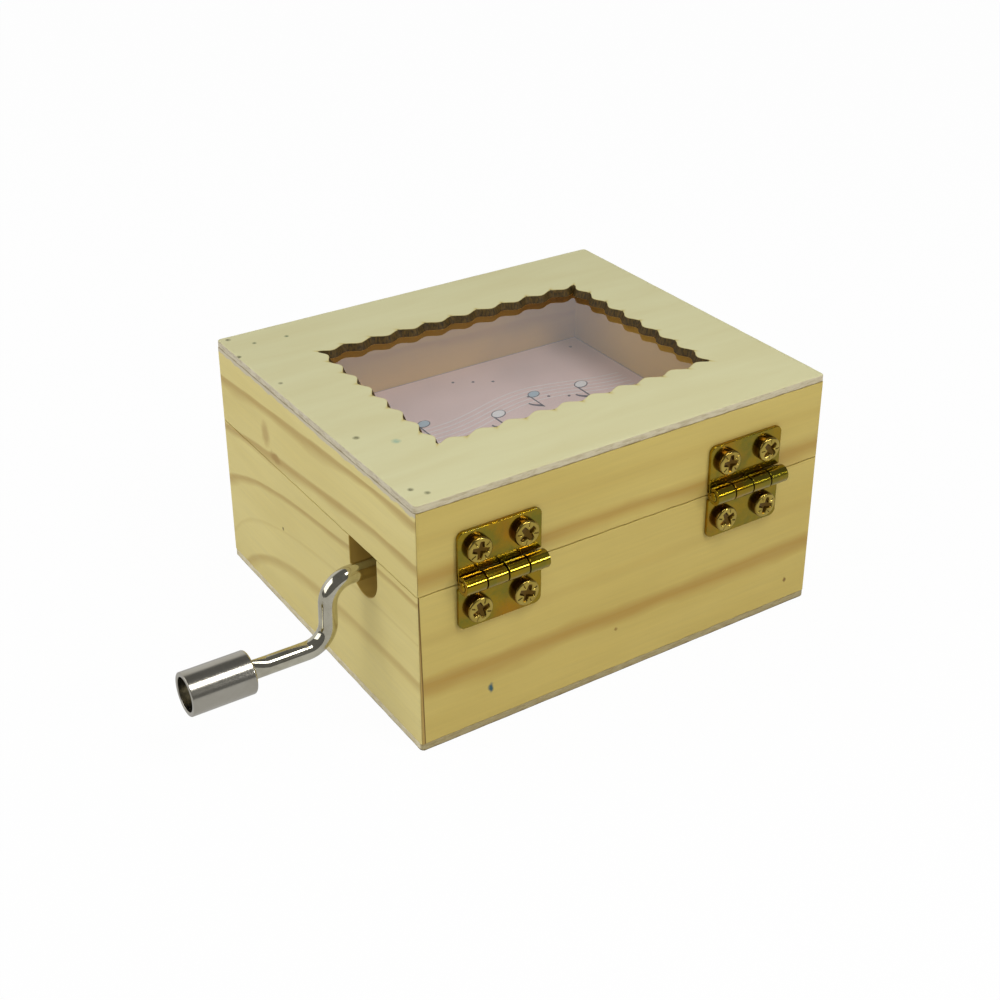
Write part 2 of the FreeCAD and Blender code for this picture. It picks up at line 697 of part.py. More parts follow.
def music_pin(track, number):
    # A straight pin set in one comb tooth's track. The angles are spread as a tune's would be.
    track_step, pin_step, stray_step, stray_count = 83, 127, 19, 7
    turn = (track * track_step + number * pin_step + (track * number) % stray_count * stray_step) % 360
    sunk = size("(drum_radius - drum_bore) / 2")
    half = size("music_pin_half")
    middle = size("comb_start") + (track + 0.5) * size("comb_pitch")
    corner = Vector(-half, middle - half, size("drum_radius") - sunk)
    pin = Part.makeBox(2 * half, 2 * half, size("pin_height") + sunk, corner)
    pin.rotate(Vector(), Vector(0, 1, 0), turn)
    return pin


def make_drum():
    # A tube, and the group of pins that are set in it.
    pins_per_track = 3
    drum = new_body("cylinder_drum")
    section = sketch_on(drum, "XZ_Plane", lift="-drum_start")
    circle(section, "0", "0", "drum_radius")
    circle(section, "0", "0", "drum_bore")
    pad(drum, section, "drum_length", back=True)
    put(drum, "drum_place", "0", drum_height)
    tracks = range(int(size("comb_teeth")))
    placed = [music_pin(track, number) for track in tracks for number in range(pins_per_track)]
    pins = new_piece("Part::Feature", "cylinder_pins")
    pins.Shape = Part.makeCompound(placed)
    put(pins, "drum_place", "0", drum_height)


def make_arbor_and_cap():
    arbor = new_piece("Part::Cylinder", "cylinder_arbor")
    back_end = "arbor_post_start + arbor_post_step + post_thick + end_play"
    bind(arbor, {"Radius": "arbor_radius", "Height": f"{back_end} - arbor_post_start + end_play"})
    put(arbor, "drum_place", back_end, drum_height, axis=Vector(1, 0, 0), turn=90)
    cap = new_body("cylinder_end_cap")
    section = sketch_on(cap, "XZ_Plane", lift="-drum_start - cap_thick")
    circle(section, "0", "0", "drum_bore")
    circle(section, "0", "0", "arbor_radius")
    pad(cap, section, "cap_thick")
    put(cap, "drum_place", "0", drum_height)


def make_comb():
    comb = new_body("comb")
    teeth, pitch = int(size("comb_teeth")), size("comb_pitch")
    front = "comb_start"
    back = "comb_start + comb_teeth * comb_pitch"
    clamped = sketch_on(comb, "XY_Plane", lift=comb_seat)
    polygon(clamped, [("comb_back", front), ("comb_long_root", front),
                      ("comb_short_root", back), ("comb_back", back)])
    pad(comb, clamped, "comb_thick")
    tines = sketch_on(comb, "XY_Plane", lift=f"{comb_seat} + comb_thick")
    half = size("comb_tooth_width") / 2
    tip, long_root = size(comb_tip), size("comb_long_root")
    for number in range(teeth):
        share = (number + 0.5) / teeth
        middle = size("comb_start") + (number + 0.5) * pitch
        root = long_root + share * size("comb_short_root - comb_long_root") - pitch
        corners = [Vector(root, middle - half, 0), Vector(tip, middle - half, 0),
                   Vector(tip, middle + half, 0), Vector(root, middle + half, 0)]
        for begin, end in zip(corners, corners[1:] + corners[:1]):
            tines.addGeometry(Part.LineSegment(begin, end))
    pad(comb, tines, "comb_tooth_thick", back=True)
    holes = sketch_on(comb, "XY_Plane", lift=f"{comb_seat} + comb_thick")
    for x, y in comb_screw_places:
        screw_hole(holes, x, y, "small_screw_radius")
    pocket(comb, holes, "comb_thick")


def make_bedplate():
    # One casting: plate, comb pedestal, two posts for the crank shaft and two for the arbor.
    bed = new_body("movement_bedplate")
    left, right = "plate_place - plate_length / 2", "plate_place + plate_length / 2"
    front, back = "plate_side - plate_width / 2", "plate_side + plate_width / 2"
    plate = sketch_on(bed, "XY_Plane", lift=block_top)
    rectangle(plate, left, right, front, back)
    for x, y in bedplate_screw_places:
        screw_hole(plate, x, y, "small_screw_radius")
    pad(bed, plate, "plate_thick")
    middle = size(f"{block_top} + plate_thick / 2")
    corner_spots = [Vector(size(x), size(y), middle) for x in (left, right) for y in (front, back)]
    round_edges(bed, corner_spots, "plate_corner")
    pedestal = sketch_on(bed, "XY_Plane", lift=plate_top)
    rectangle(pedestal, "comb_back", "pedestal_front", "comb_start", "comb_start + comb_teeth * comb_pitch")
    pad(bed, pedestal, f"{comb_seat} - {plate_top}")
    shaft_posts = sketch_on(bed, "YZ_Plane", lift="shaft_post_start")
    arch(shaft_posts, "crank_side", plate_top, "crank_height", "shaft_post_radius")
    circle(shaft_posts, "crank_side", "crank_height", "rod_radius + running_play")
    repeat_along(bed, pad(bed, shaft_posts, "post_thick"), "X_Axis", "shaft_post_step")
    arbor_posts = sketch_on(bed, "XZ_Plane", lift="-arbor_post_start")
    arch(arbor_posts, "drum_place", plate_top, drum_height, "arbor_post_radius")
    circle(arbor_posts, "drum_place", drum_height, "arbor_radius + running_play")
    repeat_along(bed, pad(bed, arbor_posts, "post_thick", back=True), "Y_Axis", "arbor_post_step")


def make_movement_screws():
    screw = screw_pattern("MovementScrew", "small_screw_head", "small_screw_head_height",
                          "small_screw_radius", "small_screw_depth")
    document.recompute()
    upright = Rotation()
    groups = (("comb_screws", comb_screw_places, f"{comb_seat} + comb_thick"),
              ("bedplate_screws", bedplate_screw_places, plate_top))
    for label, places, seat in groups:
        screw_group(label, screw, [Vector(size(x), size(y), size(seat)) for x, y in places], upright)


comb_screw_places = [
    ("(comb_back + pedestal_front) / 2", f"comb_start + {share} * comb_teeth * comb_pitch")
    for share in (0.22, 0.78)
]
screw_inset = "(small_screw_head + 2 * plate_thick / 3)"
bedplate_screw_places = [
    (f"plate_place {x_sign} (plate_length / 2 - {screw_inset})",
     f"plate_side {y_sign} (plate_width / 2 - {screw_inset})")
    for x_sign, y_sign in (("-", "-"), ("-", "+"), ("+", "-"))
]

make_case()
make_hinges()
make_crank_rod()
make_knob()
make_worm()
slab("movement_block", "block_length", "block_width", "block_thick",
     "panel_thick", "block_place", "block_side")
make_bedplate()
make_comb()
make_movement_screws()
make_wheel()
make_drum()
make_arbor_and_cap()
document.recompute()

for item in document.Objects:
    if {"Invalid", "Error"} & set(item.State):
        raise RuntimeError(f"{item.Label} failed to build: {item.State}")
for piece in pieces:
    if piece.Shape.isNull() or not piece.Shape.isValid() or not piece.Shape.Solids:
        raise RuntimeError(f"{piece.Label} has no valid solid")

os.makedirs("parts", exist_ok=True)
for piece in pieces:
    piece.Shape.exportStep(f"parts/{piece.Label}.step")
    print(f"{piece.Label}: {len(piece.Shape.Solids)} solid, {piece.Shape.Volume:.1f} mm3")
print(f"{len(pieces)} pieces")
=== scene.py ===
import bmesh
import bpy
import numpy as np
from mathutils import Matrix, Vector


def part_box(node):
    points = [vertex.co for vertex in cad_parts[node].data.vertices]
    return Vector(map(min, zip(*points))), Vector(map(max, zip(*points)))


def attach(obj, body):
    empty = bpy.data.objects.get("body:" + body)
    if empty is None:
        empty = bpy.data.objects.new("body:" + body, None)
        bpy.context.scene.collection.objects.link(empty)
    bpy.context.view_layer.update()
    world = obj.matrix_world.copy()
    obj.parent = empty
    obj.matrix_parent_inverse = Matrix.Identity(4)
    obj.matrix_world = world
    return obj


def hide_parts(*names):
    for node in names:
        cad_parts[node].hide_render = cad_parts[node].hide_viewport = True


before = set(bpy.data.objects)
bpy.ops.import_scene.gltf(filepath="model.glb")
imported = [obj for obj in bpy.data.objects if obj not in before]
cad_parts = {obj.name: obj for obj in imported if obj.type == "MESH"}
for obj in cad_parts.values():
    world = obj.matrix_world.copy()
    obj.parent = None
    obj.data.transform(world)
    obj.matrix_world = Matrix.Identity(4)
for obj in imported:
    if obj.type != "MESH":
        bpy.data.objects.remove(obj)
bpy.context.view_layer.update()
mm = 0.001
print("frame loaded:", len(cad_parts), "nodes")


# Surfaces on grids

def nodeBox(name):
    # the low and high corners of a CAD node, in millimetres
    low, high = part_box(name)
    return np.array(low) / mm, np.array(high) / mm


def gridQuads(rows, columns, closedRows, closedColumns):
    # the four corners of every cell of a grid, wrapped round where the grid is closed
    across = np.arange(rows if closedRows else rows - 1)
    along = np.arange(columns if closedColumns else columns - 1)
    row, column = (axis.ravel() for axis in np.meshgrid(across, along, indexing="ij"))
    nextRow, nextColumn = (row + 1) % rows, (column + 1) % columns
    corners = ((row, column), (row, nextColumn), (nextRow, nextColumn), (nextRow, column))
    return np.stack([r * columns + c for r, c in corners], axis=1)


def surface(grid, closedRows=False, closedColumns=True, caps="", finish=0, **paint):
    # one grid of points; caps names the end rows that are closed by a flat face
    grid = np.asarray(grid, float)
    rows, columns = grid.shape[:2]
    ends = {"first": np.arange(columns), "last": (rows - 1) * columns + np.arange(columns)}
    return {
        "points": grid.reshape(-1, 3),
        "quads": gridQuads(rows, columns, closedRows, closedColumns),
        "caps": [ends[name] for name in caps.split()],
        "finish": finish,
        "paint": {name: np.broadcast_to(value, (rows, columns)).ravel() for name, value in paint.items()},
    }


def solid(grid, **more):
    # a grid whose two end rows are both closed
    return surface(grid, caps="first last", **more)


def buildMesh(name, surfaces, sharpAngle):
    # grids in millimetres are put together, points that meet become one, and pinched cells become triangles
    weldDigits = 4
    points = np.concatenate([part["points"] for part in surfaces])
    starts = np.cumsum([0] + [len(part["points"]) for part in surfaces])
    owner = np.repeat(np.arange(len(surfaces)), np.diff(starts))
    keys = np.column_stack([owner, np.round(points, weldDigits)])
    first, where = np.unique(keys, axis=0, return_index=True, return_inverse=True)[1:]
    where = where.ravel()
    faces, finishes = [], []
    for part, start in zip(surfaces, starts):
        quads = where[part["quads"] + start]
        same = quads == np.roll(quads, 1, axis=1)
        pinched = same.sum(axis=1) == 1
        whole = quads[~same.any(axis=1)]
        triangles = quads[pinched][~same[pinched]].reshape(-1, 3)
        caps = [where[cap + start] for cap in part["caps"]]
        caps = [cap[cap != np.roll(cap, 1)] for cap in caps]
        made = whole.tolist() + triangles.tolist() + [cap.tolist() for cap in caps if len(cap) > 2]
        faces += made
        finishes += [part["finish"]] * len(made)
    mesh = bpy.data.meshes.new(name)
    mesh.from_pydata(points[first] * mm, [], faces)
    mesh.polygons.foreach_set("material_index", finishes)
    for paintName in {key for part in surfaces for key in part["paint"]}:
        values = [part["paint"].get(paintName, np.zeros(len(part["points"]))) for part in surfaces]
        layer = mesh.attributes.new(paintName, "FLOAT", "POINT")
        layer.data.foreach_set("value", np.concatenate(values)[first].astype(np.float32))
    shell = bmesh.new()
    shell.from_mesh(mesh)
    bmesh.ops.recalc_face_normals(shell, faces=shell.faces)
    shell.to_mesh(mesh)
    shell.free()
    mesh.shade_smooth()
    mesh.set_sharp_from_angle(angle=np.radians(sharpAngle))
    return mesh


def newPiece(name, surfaces, body, finishes, replaced, sharpAngle=32):
    # the surfaces become one object that moves with a body and stands for the replaced CAD nodes
    mesh = buildMesh(name, surfaces, sharpAngle)
    for finish in finishes:
        mesh.materials.append(finish)
    piece = bpy.data.objects.new(name, mesh)
    bpy.context.scene.collection.objects.link(piece)
    flatFaces = piece.modifiers.new("flat_faces", "WEIGHTED_NORMAL")
    flatFaces.keep_sharp = True
    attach(piece, body)
    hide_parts(*replaced)
    return piece


def unit(vectors):
    # each vector divided by its own length
    return vectors / np.linalg.norm(vectors, axis=-1, keepdims=True)


def eased(corners, radii, steps=5):
    # every corner of a closed outline becomes an arc that is tangent to its two sides
    corners = np.asarray(corners, float)
    radii = np.broadcast_to(np.asarray(radii, float), len(corners))[:, None]
    back = unit(np.roll(corners, 1, axis=0) - corners)
    onward = unit(np.roll(corners, -1, axis=0) - corners)
    half = np.arccos(np.clip((back * onward).sum(axis=1), -1, 1))[:, None] / 2
    middle = corners + unit(back + onward) * radii / np.sin(half)
    start = corners + back * radii / np.tan(half) - middle
    end = corners + onward * radii / np.tan(half) - middle
    sweep = np.pi - 2 * half
    share = np.linspace(0, 1, steps + 1)[None, :]
    fromStart, fromEnd = np.sin((1 - share) * sweep), np.sin(share * sweep)
    arcs = start[:, None] * fromStart[..., None] + end[:, None] * fromEnd[..., None]
    rounded = (middle[:, None] + arcs / np.sin(sweep)[:, None]).reshape(-1, 2)
    return rounded[np.linalg.norm(rounded - np.roll(rounded, 1, axis=0), axis=1) > 1e-6]


def inwardStep(outline):
    # the step at each point that moves both of its sides in by one
    nextOne = np.roll(outline, -1, axis=0)
    onward = unit(nextOne - outline)
    coming = np.roll(onward, 1, axis=0)
    area = (outline[:, 0] * nextOne[:, 1] - outline[:, 1] * nextOne[:, 0]).sum()
    both = onward + coming
    turned = np.sign(area) * np.stack([-both[:, 1], both[:, 0]], 1)
    return turned / (1 + (onward * coming).sum(axis=1))[:, None]


def quarterRows(low, high, edge, steps=4):
    # levels from low to high, and how far a rounded edge draws each of them in
    turn = np.linspace(0, np.pi / 2, steps)
    rise, inset = edge * (1 - np.cos(turn)), edge * (1 - np.sin(turn))
    return np.concatenate([low + rise, (high - rise)[::-1]]), np.concatenate([inset, inset[::-1]])


def roundedSlab(outline, low, high, edge, steps=4):
    # an outline raised from low to high, drawn in by a quarter circle at both faces
    levels, insets = quarterRows(low, high, edge, steps)
    rings = outline[None] + insets[:, None, None] * inwardStep(outline)[None]
    return np.concatenate([rings, np.broadcast_to(levels[:, None, None], rings.shape[:2] + (1,))], axis=2)


def placed(grid, origin, u, v, w):
    # steps along u, v and w, counted from the origin
    return np.asarray(origin, float) + grid @ np.array([u, v, w], float)


def revolved(profile, origin, axis, steps=64):
    # (along, radius) pairs carried round an axis
    along, radius = np.asarray(profile, float).T[:, :, None, None]
    axis = np.array(axis, float)
    side = np.roll(axis, 1)
    turn = np.linspace(0, 2 * np.pi, steps, endpoint=False)[:, None]
    ring = np.cos(turn) * side + np.sin(turn) * np.cross(axis, side)
    return np.asarray(origin, float) + along * axis + radius * ring[None]


def rectangle(low, high):
    # four corners, anticlockwise from the low one
    return np.array([(low[0], low[1]), (high[0], low[1]), (high[0], high[1]), (low[0], high[1])], float)


def boxSlab(low, high, corner, edge, steps=4):
    # a box as a slab: its four upright corners are arcs, and its faces have rounded edges
    return roundedSlab(eased(rectangle(low[:2], high[:2]), corner, steps), low[2], high[2], edge)


# Finishes

def colour(red, green, blue):
    # a colour as it is seen, 0 to 255, in the linear light that shaders use
    seen = np.array([red, green, blue]) / 255
    linear = np.where(seen <= 0.04045, seen / 12.92, ((seen + 0.055) / 1.055) ** 2.4)
    return (*linear.tolist(), 1.0)


class Finish:
    # the nodes of a material or a world, added one step at a time; an input is a socket or a plain value
    def __init__(self, owner):
        owner.use_nodes = True
        self.owner, self.tree = owner, owner.node_tree

    def feed(self, socket, value):
        if isinstance(value, bpy.types.NodeSocket):
            self.tree.links.new(value, socket)
        else:
            socket.default_value = value

    def node(self, kind, inputs, output=0, **settings):
        made = self.tree.nodes.new("ShaderNode" + kind)
        for name, value in settings.items():
            setattr(made, name, value)
        for socket, value in inputs.items():
            self.feed(made.inputs[socket], value)
        return made.outputs[output]

    def spot(self, stretch=(1, 1, 1), turn=(0, 0, 0), shift=(0, 0, 0)):
        # object coordinates in millimetres, stretched, turned and shifted
        where = self.node("TexCoord", {}, "Object")
        scale = [step / mm for step in stretch]
        return self.node("Mapping", {"Vector": where, "Scale": scale, "Rotation": turn, "Location": shift})

    def axes(self, vector):
        parts = self.tree.nodes.new("ShaderNodeSeparateXYZ")
        self.feed(parts.inputs[0], vector)
        return parts.outputs

    def math(self, operation, first, second=0.0, third=0.0):
        return self.node("Math", {0: first, 1: second, 2: third}, operation=operation)

    def noise(self, vector, scale, detail=2.0, roughness=0.5, distortion=0.0):
        return self.node("TexNoise", {"Vector": vector, "Scale": scale, "Detail": detail,
                                      "Roughness": roughness, "Distortion": distortion})

    def span(self, value, low, high, start=0.0, end=1.0):
        # low to high becomes start to end, held at both ends
        return self.node("MapRange", {0: value, 1: low, 2: high, 3: start, 4: end})

    def blend(self, share, first, second, mode="MIX"):
        return self.node("Mix", {0: share, 6: first, 7: second}, 2, data_type="RGBA", blend_type=mode)

    def painted(self, name):
        return self.node("Attribute", {}, "Fac", attribute_name=name)

    def near(self, vector, centre, reach):
        # one inside an egg with the given half-axes, falling softly to nothing
        away = self.node("VectorMath", {0: vector, 1: centre}, operation="SUBTRACT")
        away = self.node("VectorMath", {0: away, 1: reach}, operation="DIVIDE")
        return self.span(self.node("VectorMath", {0: away}, "Value", operation="LENGTH"), 1.0, 0.4)

    def shade(self, base, value, low, high, dark, light):
        # base made darker or lighter as value goes from low to high
        grey = self.span(value, low, high, dark, light)
        return self.blend(1.0, base, self.node("CombineColor", {0: grey, 1: grey, 2: grey}), "MULTIPLY")

    def bump(self, height, depth, strength=1.0):
        return self.node("Bump", {"Height": height, "Distance": depth * mm, "Strength": strength})

    def done(self, **sockets):
        for name, value in sockets.items():
            self.feed(self.tree.nodes["Principled BSDF"].inputs[name.replace("_", " ")], value)
        return self.owner

    def shown(self, shader, output="Material Output"):
        self.tree.links.new(shader, self.tree.nodes[output].inputs["Surface"])
        return self.owner


# how quickly each noise of the pine changes along and across the grain
pineNoise = {"waver": (0.05, 0.1), "swell": (0.05, 0.12), "fibre": (0.06, 1.6), "patch": (0.02, 0.09),
             "pore": (0.18, 3.2)}
# painted shade on the lid's inner walls behind the pane: a warm tint multiplied in where a point lies more
# than depth under its board's outer face and above level
lidInnerShade = {"depth": (7.2, 7.8), "level": (33.0, 33.2), "tint": (240, 210, 136)}


def ringHeight(pine, grain, here, sunk, waver):
    # growth rings are levels of this height: it climbs along the board, more so low down, leans with the
    # depth under the face, and wavers
    run = pine.math("MULTIPLY_ADD", here[grain["along"]], -grain["facing"] / grain["run"],
                    grain["flatEnd"] / grain["run"])
    below = pine.math("MAXIMUM", pine.math("SUBTRACT", grain["hookTop"], here["Z"]), 0.0)
    bend = pine.math("MULTIPLY_ADD", below, grain["hook"], 1.0)
    climb = pine.math("POWER", pine.span(run, 0.0, 1.0), bend)
    lift = pine.math("MULTIPLY_ADD", here["Z"], -grain["fan"], grain["rise"])
    lift = pine.math("MAXIMUM", lift, grain["least"])
    height = pine.math("MULTIPLY_ADD", climb, lift, here["Z"])
    height = pine.math("MULTIPLY_ADD", sunk, grain["lean"], height)
    return pine.math("MULTIPLY_ADD", waver, grain["waver"], height)


def ringBands(pine, bands, height, swell):
    # each ring is a band that is crisp above its level and soft below it, and swells along the grain
    band = 0.0
    for level, upper, lower, strength in bands:
        away = pine.math("DIVIDE", pine.math("SUBTRACT", height, level), swell)
        crisp, soft = pine.span(away, upper, 0.0), pine.span(away, -lower, -0.25 * lower)
        shape = pine.math("MULTIPLY", crisp, soft)
        band = pine.math("MAXIMUM", band, pine.math("MULTIPLY", shape, strength))
    return band


def withMarks(pine, base, marks):
    # knots, dents and stains: eggs of another tint with a ragged rim
    ragged = pine.node("TexNoise", {"Vector": pine.spot(), "Scale": 0.9}, "Color")
    ragged = pine.node("VectorMath", {0: ragged, 1: (0.5, 0.5, 0.5)}, operation="SUBTRACT")
    ragged = pine.node("VectorMath", {0: ragged, 1: pine.spot()}, operation="ADD")
    for where, reach, tint in marks:
        base = pine.blend(pine.near(ragged, where, reach), base, colour(*tint))
    return base


def withStrip(pine, base, here, strip):
    # the next board's edge shows past a slanted glue line
    slanted = pine.math("MULTIPLY_ADD", here["Z"], strip["slant"], strip["start"])
    past = pine.math("SUBTRACT", here["X"], slanted)
    low = pine.span(here["Z"], strip["top"], strip["top"] - strip["soft"])
    share = pine.math("MULTIPLY", low, pine.span(past, 0.0, strip["soft"]))
    base = pine.blend(share, base, colour(*strip["tint"]))
    line = pine.span(pine.math("ABSOLUTE", past), *strip["line"])
    return pine.blend(pine.math("MULTIPLY", low, line), base, colour(*strip["lineTint"]))


def withBore(pine, base, here, bore):
    # the darker wall of the notch: all that is nearer to its middle than the drill reached
    across = pine.math("SUBTRACT", here["Y"], bore["y"])
    under = pine.math("MINIMUM", pine.math("SUBTRACT", here["Z"], bore["z"]), 0.0)
    square = pine.math("MULTIPLY_ADD", across, across, pine.math("MULTIPLY", under, under))
    inside = pine.span(pine.math("SQRT", square), *(bore["radius"] + spare for spare in bore["fade"]))
    inside = pine.math("MULTIPLY", inside, pine.span(here["Z"], *bore["top"]))
    return pine.blend(inside, base, colour(*bore["tint"]))


def withSmear(pine, base, here, smear):
    # glue smeared raggedly along the upper edge
    cloud = pine.noise(pine.spot(), 0.35, 4.0, 0.65)
    uneven = pine.math("MULTIPLY_ADD", cloud, smear["ragged"], here["Z"])
    return pine.blend(pine.span(uneven, *smear["reach"]), base, colour(*smear["tint"]))


def pineFinish(name, grain):
    # rings, fibres and pores over a pale ground, painted shade on the lid's inner walls, then what only this
    # board has
    pine = Finish(bpy.data.materials.new(name))

    def lengthwise(kind, **more):
        slow, quick = pineNoise[kind]
        return pine.spot((slow, quick, quick) if grain["along"] == "X" else (quick, slow, quick), **more)

    here = pine.axes(pine.spot())
    sunk = pine.math("SUBTRACT", here["Y" if grain["along"] == "X" else "X"], grain["face"])
    waver = pine.math("SUBTRACT", pine.noise(lengthwise("waver"), 1.0, 3.0), 0.5)
    height = ringHeight(pine, grain, here, sunk, waver)
    swell = pine.noise(lengthwise("swell", shift=(4, 9, 2)), 1.0, 2.0)
    band = ringBands(pine, grain["bands"], height, pine.span(swell, 0.3, 0.7, 0.6, 1.5))
    fibre = pine.noise(lengthwise("fibre"), 1.0, 5.0, 0.62)
    patch = pine.noise(lengthwise("patch"), 1.0, 2.0)
    base = pine.blend(pine.span(patch, 0.3, 0.7), colour(*grain["pale"]), colour(*grain["warm"]))
    streaky = pine.math("MULTIPLY", band, pine.span(fibre, 0.3, 0.7, 0.7, 1.0))
    base = pine.blend(streaky, base, colour(*grain["band"]))
    base = pine.shade(base, fibre, 0.25, 0.75, 0.945, 1.04)
    pore = pine.noise(lengthwise("pore", shift=(7, 3, 1)), 1.0, 2.0)
    base = pine.blend(pine.span(pore, 0.72, 0.8, 0.0, 0.3), base, colour(*grain["band"]))
    base = withMarks(pine, base, grain["marks"])
    # painted shade: the lid's inner walls are darkened
    deep = pine.span(pine.math("ABSOLUTE", sunk), *lidInnerShade["depth"])
    inside = pine.math("MULTIPLY", deep, pine.span(here["Z"], *lidInnerShade["level"]))
    base = pine.blend(inside, base, colour(*lidInnerShade["tint"]), "MULTIPLY")
    for feature, paint in (("strip", withStrip), ("bore", withBore), ("smear", withSmear)):
        if feature in grain:
            base = paint(pine, base, here, grain[feature])
    relief = pine.math("ADD", pine.math("MULTIPLY", fibre, 0.6), pine.math("MULTIPLY", band, 0.5))
    rough = pine.span(fibre, 0.3, 0.7, 0.52, 0.66)
    return pine.done(Base_Color=base, Roughness=rough, Specular_IOR_Level=0.3,
                     Normal=pine.bump(relief, 0.05, 0.5))


crankNotch = {"radius": 5.0, "middle": 27.5, "steps": 24}
shaftLow, shaftHigh = nodeBox("worm")
shaftY, shaftZ = ((shaftLow + shaftHigh) / 2)[1:]
pineGrain = {
    "crank": {
        "along": "Y", "facing": 1, "face": 45, "flatEnd": 25, "run": 63, "rise": 18.5, "fan": 0.37,
        "least": 4.4, "hook": 0.09, "hookTop": 32, "lean": 0.25, "waver": 1.0,
        "bands": [(46.8, 0.4, 2.2, 0.85), (38.2, 0.4, 1.5, 0.85), (30.8, 0.35, 1.3, 0.8),
                  (14.4, 0.7, 2.2, 0.6), (22.6, 0.3, 0.7, 0.2)],
        "pale": (221, 206, 138), "warm": (213, 196, 126), "band": (178, 148, 84),
        "marks": [((45, -18.4, 38.0), (3, 2.2, 3.2), (192, 168, 106)),
                  ((45, -14.6, 34.4), (3, 3.0, 1.3), (172, 142, 82)),
                  ((45, -13.4, 19.2), (1, 0.5, 0.42), (112, 94, 52))],
        "bore": {"y": shaftY, "z": crankNotch["middle"], "radius": crankNotch["radius"], "fade": (0.14, 0.06),
                 "top": (32.3, 32.2), "tint": (192, 160, 78)},
        "smear": {"reach": (48.6, 48.9), "ragged": 1.8, "tint": (200, 190, 164)},
    },
    "back": {
        "along": "X", "facing": 1, "face": 39, "flatEnd": 45, "run": 90, "rise": 0.5, "fan": 0.0,
        "least": 0.0, "hook": 0.0, "hookTop": 0, "lean": 0.2, "waver": 2.4,
        "bands": [(36.0, 1.9, 3.4, 0.75), (14.2, 1.5, 3.0, 0.8), (43.5, 1.0, 2.0, 0.15),
                  (23.5, 1.2, 2.2, 0.18)],
        # the back board's ground is darker than the other boards': partly its own tone, partly painted shade
        # for the less lit back face
        "pale": (200, 179, 101), "warm": (193, 170, 91), "band": (166, 128, 55),
        "marks": [((2.9, 39, 10.1), (0.5, 1, 0.5), (150, 120, 60)),
                  ((-39.2, 39, 6.0), (0.5, 1, 0.7), (132, 102, 52)),
                  ((30.5, 39, 8.15), (0.62, 1, 1.35), (52, 88, 96))],
        "strip": {"start": 44.2, "slant": 0.0165, "top": 32.4, "soft": 0.1, "line": (0.16, 0.04),
                  "tint": (176, 146, 80), "lineTint": (112, 84, 36)},
    },
    "front": {
        "along": "X", "facing": 1, "face": -39, "flatEnd": 60, "run": 105, "rise": 8.0, "fan": 0.1,
        "least": 0.0, "hook": 0.02, "hookTop": 30, "lean": -0.3, "waver": 2.0,
        "bands": [(9.0, 0.5, 1.8, 0.6), (18.5, 0.5, 1.6, 0.7), (27.0, 0.4, 1.3, 0.6), (41.0, 0.5, 1.8, 0.35)],
        "pale": (216, 196, 138), "warm": (205, 182, 124), "band": (174, 138, 78), "marks": [],
    },
    "left": {
        "along": "Y", "facing": -1, "face": -45, "flatEnd": 50, "run": 92, "rise": 11.0, "fan": 0.18,
        "least": 0.0, "hook": 0.03, "hookTop": 30, "lean": -0.25, "waver": 2.0,
        "bands": [(6.5, 0.5, 1.8, 0.6), (15.5, 0.5, 1.5, 0.7), (26.0, 0.4, 1.4, 0.7), (44.0, 0.4, 1.8, 0.4)],
        "pale": (220, 204, 134), "warm": (211, 192, 122), "band": (180, 146, 80), "marks": [],
    },
}
pineFinishes = {side: pineFinish(f"pine_{side}", grain) for side, grain in pineGrain.items()}


def plywoodFinish(name, look):
    # pale face veneer, layered edge with painted shade along its foot and on its back side, and a scorched
    # rim where the burn paint is on
    ply = Finish(bpy.data.materials.new(name))
    here = ply.axes(ply.spot())
    figure = ply.noise(ply.spot((0.03, 0.16, 0.16)), 1.0, 4.0, 0.55, 0.4)
    fibre = ply.noise(ply.spot((0.12, 2.2, 2.2)), 1.0, 4.0, 0.6)
    face = ply.blend(ply.span(figure, 0.35, 0.65), colour(*look["pale"]), colour(*look["warm"]))
    face = ply.shade(face, fibre, 0.25, 0.75, 0.995, 1.004)
    blotch = ply.math("MULTIPLY", ply.noise(ply.spot(), 1.3, 3.0), 1.5)
    for where, radius, tint in look["specks"]:
        speck = ply.near(ply.spot(), (*where, look["middle"]), (radius, radius, 3))
        face = ply.blend(ply.math("MULTIPLY", speck, blotch), face, colour(*tint))
    ragged = ply.noise(ply.spot((0.5, 0.5, 2.4)), 1.0, 4.0, 0.65)
    # painted shade: a ragged dark line along the lowest part of the edge, where the sheet meets what is under
    # it
    lowest = ply.math("SUBTRACT", look["middle"], here["Z"])
    edgeFootShade = ply.span(ply.math("ADD", lowest, ply.math("MULTIPLY", ragged, 0.5)), 0.62, 0.9)
    edge = ply.blend(ply.span(ragged, 0.42, 0.66), colour(*look["edgePale"]), colour(*look["edgeMid"]))
    edge = ply.blend(edgeFootShade, edge, colour(*look["edgeShade"]))
    # painted shade: the edge on the back side is multiplied darker
    backward = ply.span(here["Y"], *look["backReach"])
    edge = ply.blend(backward, edge, colour(*look["backEdgeShade"]), "MULTIPLY")
    base = ply.blend(ply.painted("edge"), face, edge)
    burn = ply.painted("burn")
    stripe = ply.noise(ply.spot((2.6, 2.6, 0.35)), 1.0, 3.0, 0.6)
    char = ply.blend(ply.span(stripe, 0.35, 0.65), colour(*look["char"]), colour(*look["scorch"]))
    base = ply.blend(ply.span(burn, 0.02, 0.45), base, colour(*look["toast"]))
    base = ply.blend(ply.span(burn, 0.5, 0.95), base, char)
    relief = ply.math("ADD", fibre, ply.math("MULTIPLY", ply.math("MULTIPLY", stripe, burn), 2.0))
    rough = ply.span(fibre, 0.3, 0.7, 0.55, 0.68)
    return ply.done(Base_Color=base, Roughness=rough, Specular_IOR_Level=0.3,
                    Normal=ply.bump(relief, 0.01, 0.3))


